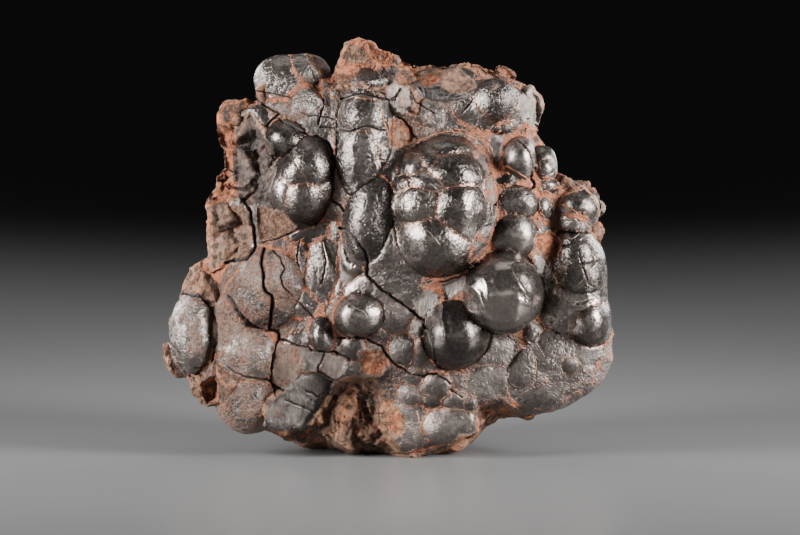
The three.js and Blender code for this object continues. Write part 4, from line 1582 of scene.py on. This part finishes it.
def coated(graph, coat, values, bare, finish):
    """Lays the coat over a bare colour. Gives the colour and how dull the coat makes it."""
    carried = ("place", "dust", "rust", "hollow", "crease", "crack", "vein", "orange", "deep")
    node = graph.add("ShaderNodeGroup", {
        **{name.capitalize(): values[name] for name in carried},
        "Sharpness": values["sharp"], "Bare": bare,
        "Dust colour": (*finish.dust_colour, 1), "Rust colour": (*finish.rust_colour, 1),
        "Dark rust": (*finish.dark_rust, 1),
    }, node_tree=coat)
    return node.outputs["Colour"], node.outputs["Dull"]


def kidney_material(finish, coat, grain):
    """Lustrous dark kidney skin, with dust and rust by how each kidney is finished."""
    material, graph, shader = begin_material("Kidney skin")
    values = read_attributes(graph)
    place = values["place"]
    broad = graph.noise(place, 110.0, 3.0)
    mottle = graph.noise(place, 1100.0, 4.0)
    tone = graph.math("MULTIPLY_ADD", values["tone"], 0.12, graph.blend(0.35, broad, mottle))
    steel = graph.mix(graph.between(tone, 0.25, 0.8), (*finish.dark_steel, 1),
                      (*finish.light_steel, 1))
    colour, dull = coated(graph, coat, values, steel, finish)
    coarse = values["coarse"]
    hammered = graph.between(graph.noise(place, 150.0, 2.0), 0.35, 0.65, 0.5, 1.3)
    glaze = graph.between(graph.noise(place, 90.0, 1.0), 0.42, 0.6, 0.0, 0.08)
    relief = graph.add("ShaderNodeGroup", {
        "Place": place,
        "Grain": graph.math("MULTIPLY_ADD", dull, 0.7, graph.times(coarse, 0.022)),
        "Peel": graph.times(hammered, graph.times(coarse, 0.6)),
        "Glaze": graph.times(glaze, coarse),
    }, node_tree=grain)
    bump = graph.add("ShaderNodeBump", {"Distance": MM, "Height": relief.outputs["Height"]})
    shiny = graph.between(values["shine"], 0.0, 1.3, 0.52, 0.2)
    rough_skin = graph.math("ADD", shiny, graph.between(mottle, 0.3, 0.7, -0.04, 0.08))
    graph.fill(shader, {
        "Base Color": colour, "Roughness": graph.blend(dull, rough_skin, 0.75),
        "Metallic": graph.blend(dull, 0.92, 0.05), "Normal": bump.outputs["Normal"]})
    return material


def matrix_material(finish, coat, grain):
    """Broken, fibrous, rusty matrix, greyer and harder where it is shiny."""
    material, graph, shader = begin_material("Broken matrix")
    values = read_attributes(graph)
    place = values["place"]
    drawn_out = graph.add("ShaderNodeMapping", {"Vector": place, "Scale": (1.0, 0.3, 0.25)})
    fibre = graph.noise(drawn_out.outputs["Vector"], 1500.0, 4.0, 0.6, 0.3)
    tone = graph.math("MULTIPLY_ADD", values["tone"], 0.3, graph.noise(place, 140.0, 5.0))
    light = graph.between(tone, 0.2, 0.8)
    stone = graph.mix(light, (*finish.matrix_dark, 1), (*finish.matrix_light, 1))
    steel = graph.mix(light, (*finish.dark_steel, 1), (*finish.broken_steel, 1))
    stone = graph.mix(graph.between(values["shine"], 0.1, 0.9), stone, steel)
    stone = graph.mix(graph.between(fibre, 0.35, 0.7, 0.0, 0.45), stone, (*finish.matrix_dark, 1))
    # Painted shade: small pits are painted near black, and the bump also sinks them in.
    pits = graph.between(graph.noise(place, 620.0, 5.0, 0.7), 0.36, 0.5, 1.0, 0.0)
    pits = graph.times(pits, graph.between(values["shine"], 0.2, 0.7, 1.0, 0.0))
    stone = graph.mix(graph.times(pits, 0.8), stone, (0.012, 0.007, 0.005, 1))
    colour, dull = coated(graph, coat, values, stone, finish)
    def by_shine(dull_value, shiny_value):
        return graph.between(values["shine"], 0.2, 0.9, dull_value, shiny_value)

    relief = graph.add("ShaderNodeGroup", {
        "Place": place, "Grain": by_shine(0.12, 0.02), "Peel": by_shine(0.35, 0.06),
    }, node_tree=grain)
    height = graph.math("MULTIPLY_ADD", fibre, 0.35, relief.outputs["Height"])
    height = graph.math("MULTIPLY_ADD", pits, -0.5, height)
    bump = graph.add("ShaderNodeBump", {"Distance": MM, "Height": height})
    graph.fill(shader, {
        "Base Color": colour, "Roughness": graph.blend(dull, by_shine(0.75, 0.42), 0.85),
        "Metallic": graph.blend(dull, by_shine(0.05, 0.3), 0.0),
        "Normal": bump.outputs["Normal"]})
    return material


# ---- The add-on ----

def colour_setting(name, description, default):
    """A colour that a user can change."""
    return bpy.props.FloatVectorProperty(
        name=name, description=description, subtype="COLOR", size=3, min=0, max=1,
        default=default)


class HematiteShape(bpy.types.PropertyGroup):
    """How finely the lump is meshed."""
    coarse_step: bpy.props.FloatProperty(
        name="Coarse step", description="Mesh spacing at the back and sides, in millimetres",
        default=1.75, min=0.8, max=4)
    fine_step: bpy.props.FloatProperty(
        name="Fine step", description="Mesh spacing over the kidneys, in millimetres",
        default=0.64, min=0.3, max=2)


class HematiteFinish(bpy.types.PropertyGroup):
    """The colours of the lump."""
    dark_steel: colour_setting(
        "Dark steel", "Darker bare kidney skin", (0.046, 0.039, 0.036))
    light_steel: colour_setting(
        "Light steel", "Lighter bare kidney skin", (0.190, 0.162, 0.146))
    broken_steel: colour_setting(
        "Broken steel", "Light broken faces of solid hematite", (0.235, 0.205, 0.185))
    dust_colour: colour_setting(
        "Dust", "Pinkish dust on the dull kidneys", (0.205, 0.092, 0.052))
    rust_colour: colour_setting(
        "Rust", "Salmon rust in the creases", (0.370, 0.108, 0.042))
    dark_rust: colour_setting(
        "Dark rust", "Brown rust in the creases", (0.160, 0.050, 0.018))
    matrix_dark: colour_setting(
        "Dark matrix", "Darker broken matrix", (0.032, 0.015, 0.008))
    matrix_light: colour_setting(
        "Light matrix", "Lighter broken matrix", (0.240, 0.112, 0.052))


class HematiteStage(bpy.types.PropertyGroup):
    """The studio around the lump."""
    floor_colour: colour_setting("Floor", "Colour of the floor", (0.115, 0.115, 0.115))
    side_light: bpy.props.FloatProperty(
        name="Side light", description="Power of the two soft boxes at the sides",
        default=1.9, min=0, subtype="POWER", unit="POWER")
    top_light: bpy.props.FloatProperty(
        name="Top light", description="Power of the soft box overhead",
        default=0.25, min=0, subtype="POWER", unit="POWER")
    front_light: bpy.props.FloatProperty(
        name="Front light", description="Power of the low soft box in front",
        default=0.22, min=0, subtype="POWER", unit="POWER")
    back_light: bpy.props.FloatProperty(
        name="Back light", description="Power of each of the two soft boxes behind",
        default=1.2, min=0, subtype="POWER", unit="POWER")
    lens: bpy.props.FloatProperty(
        name="Lens", description="Focal length of the camera", default=200, min=20,
        subtype="DISTANCE_CAMERA")


class HEMATITE_OT_lump(bpy.types.Operator):
    """Builds the lump of kidney ore and its finish"""
    bl_idname = "hematite.lump"
    bl_label = "Lump"

    def execute(self, context):
        settings, finish = context.scene.hematite_shape, context.scene.hematite_finish
        shapes, drawn = make_shapes(), draw_lines()
        points, faces, sharp = lump_surface(
            shapes, settings.coarse_step, settings.fine_step, drawn)
        label = shapes.field(points[faces].mean(axis=1))[2]
        points, patched, values = add_detail(shapes, points, faces, sharp, drawn)
        is_matrix = (shapes.kind_of(label) == STONE) | patched[faces].any(axis=1)
        is_matrix |= (shapes.kind_of(label) == SKIN_KIND) & (rim_of(points[faces].mean(axis=1)) < 2)
        mesh = bpy.data.meshes.new("hematite_lump")
        mesh.from_pydata(to_world(points), [], faces)
        if mesh.validate(verbose=False):
            raise RuntimeError("the lump's mesh was broken")
        for name, rows in values.items():
            kind, field = ("FLOAT_VECTOR", "vector") if rows.ndim == 2 else ("FLOAT", "value")
            layer = mesh.attributes.new(name, kind, "POINT")
            layer.data.foreach_set(field, rows.astype(np.float32).ravel())
        patches = patches_group()
        coat, grain = coat_group(patches), grain_group()
        mesh.materials.append(kidney_material(finish, coat, grain))
        mesh.materials.append(matrix_material(finish, coat, grain))
        mesh.polygons.foreach_set("material_index", is_matrix.astype(np.int32))
        mesh.polygons.foreach_set("use_smooth", np.ones(len(faces), bool))
        lump = bpy.data.objects.new("hematite_lump", mesh)
        context.collection.objects.link(lump)
        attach(lump, "root")
        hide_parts(NODE)
        return {"FINISHED"}


# The studio, in metres: each soft box's place, then its width and height. Those at the side and
# behind have a mirrored twin on the left.
LIT_PLACE = (0, 0, 0.05)
SIDE_BOX = ((0.41, -0.17, 0.19), (0.18, 0.25))
BACK_BOX = ((0.6, 0.62, 0.3), (0.3, 0.3))
FRONT_BOX = ((0.0, -0.75, 0.12), (0.9, 0.22))
TOP_BOX = ((0.0, 0.15, 0.75), (0.5, 0.4))
LEFT_SHARE = 0.85        # how strong the left box is beside the right one
LIGHT_SPREAD = 70        # in degrees
WORLD_COLOUR = (0.012, 0.012, 0.012, 1)
FLOOR_HALF = 3.0         # half the floor's width
# The camera looks square at this place on the face, and sees this width there, in millimetres.
AIM = (3.5, 48.1, 5.0)
SEEN_WIDTH = 200


def soft_box(name, place, size, power):
    """A soft box that faces the middle of the lump."""
    light = bpy.data.lights.new(name, "AREA")
    light.shape = "RECTANGLE"
    light.size, light.size_y = size
    light.energy = power
    light.spread = math.radians(LIGHT_SPREAD)
    box = bpy.data.objects.new(name, light)
    box.location = place
    aim = Vector(LIT_PLACE) - Vector(place)
    box.rotation_euler = aim.to_track_quat("-Z", "Y").to_euler()
    box.visible_camera = False
    bpy.context.collection.objects.link(box)


class HEMATITE_OT_stage(bpy.types.Operator):
    """Builds the floor, the lights and the camera"""
    bl_idname = "hematite.stage"
    bl_label = "Stage"

    def execute(self, context):
        settings = context.scene.hematite_stage
        mesh = bpy.data.meshes.new("floor")
        corners = np.array([(-1, -1, 0), (1, -1, 0), (1, 1, 0), (-1, 1, 0)]) * FLOOR_HALF
        mesh.from_pydata(corners, [], [(0, 1, 2, 3)])
        material, _, shader = begin_material("Floor")
        shader.inputs["Base Color"].default_value = (*settings.floor_colour, 1)
        shader.inputs["Roughness"].default_value = 0.35
        mesh.materials.append(material)
        floor = bpy.data.objects.new("floor", mesh)
        context.collection.objects.link(floor)
        world = bpy.data.worlds.new("Studio")
        world.use_nodes = True
        world.node_tree.nodes["Background"].inputs["Color"].default_value = WORLD_COLOUR
        context.scene.world = world
        for side, name, share in ((-1, "left", LEFT_SHARE), (1, "right", 1.0)):
            for where, (place, size), power in (
                    ("", SIDE_BOX, settings.side_light * share),
                    ("back_", BACK_BOX, settings.back_light)):
                soft_box("soft_box_" + where + name, (side * place[0], *place[1:]), size, power)
        soft_box("soft_box_front", *FRONT_BOX, settings.front_light)
        soft_box("soft_box_top", *TOP_BOX, settings.top_light)
        camera = bpy.data.cameras.new("camera")
        camera.lens = settings.lens
        camera.sensor_width = 36
        distance = SEEN_WIDTH * MM * camera.lens / camera.sensor_width
        aim = Vector(to_world(np.array([AIM]))[0])
        outward = Vector((0, -math.cos(math.radians(LEAN)), math.sin(math.radians(LEAN))))
        eye = bpy.data.objects.new("camera", camera)
        eye.location = aim + outward * distance
        eye.rotation_euler = (-outward).to_track_quat("-Z", "Y").to_euler()
        context.collection.objects.link(eye)
        context.scene.camera = eye
        return {"FINISHED"}


class HEMATITE_PT_panel(bpy.types.Panel):
    """Lists the lump's settings and operators"""
    bl_idname = "HEMATITE_PT_panel"
    bl_label = "Botryoidal hematite"
    bl_space_type = "VIEW_3D"
    bl_region_type = "UI"
    bl_category = "Hematite"

    def draw(self, context):
        for name in ("hematite_shape", "hematite_finish", "hematite_stage"):
            settings = getattr(context.scene, name)
            box = self.layout.box()
            for setting in settings.__annotations__:
                box.prop(settings, setting)
        self.layout.operator(HEMATITE_OT_lump.bl_idname)
        self.layout.operator(HEMATITE_OT_stage.bl_idname)


SETTINGS = {
    "hematite_shape": HematiteShape,
    "hematite_finish": HematiteFinish,
    "hematite_stage": HematiteStage,
}
CLASSES = (*SETTINGS.values(), HEMATITE_OT_lump, HEMATITE_OT_stage, HEMATITE_PT_panel)


def register():
    """Registers the classes and gives the scene its settings."""
    for one in CLASSES:
        bpy.utils.register_class(one)
    for name, group in SETTINGS.items():
        setattr(bpy.types.Scene, name, bpy.props.PointerProperty(type=group))


def unregister():
    """Takes back what register did."""
    for name in SETTINGS:
        delattr(bpy.types.Scene, name)
    for one in reversed(CLASSES):
        bpy.utils.unregister_class(one)


def main():
    """Builds the lump and its stage."""
    register()
    bpy.ops.hematite.lump()
    bpy.ops.hematite.stage()


if __name__ == "__main__":
    main()
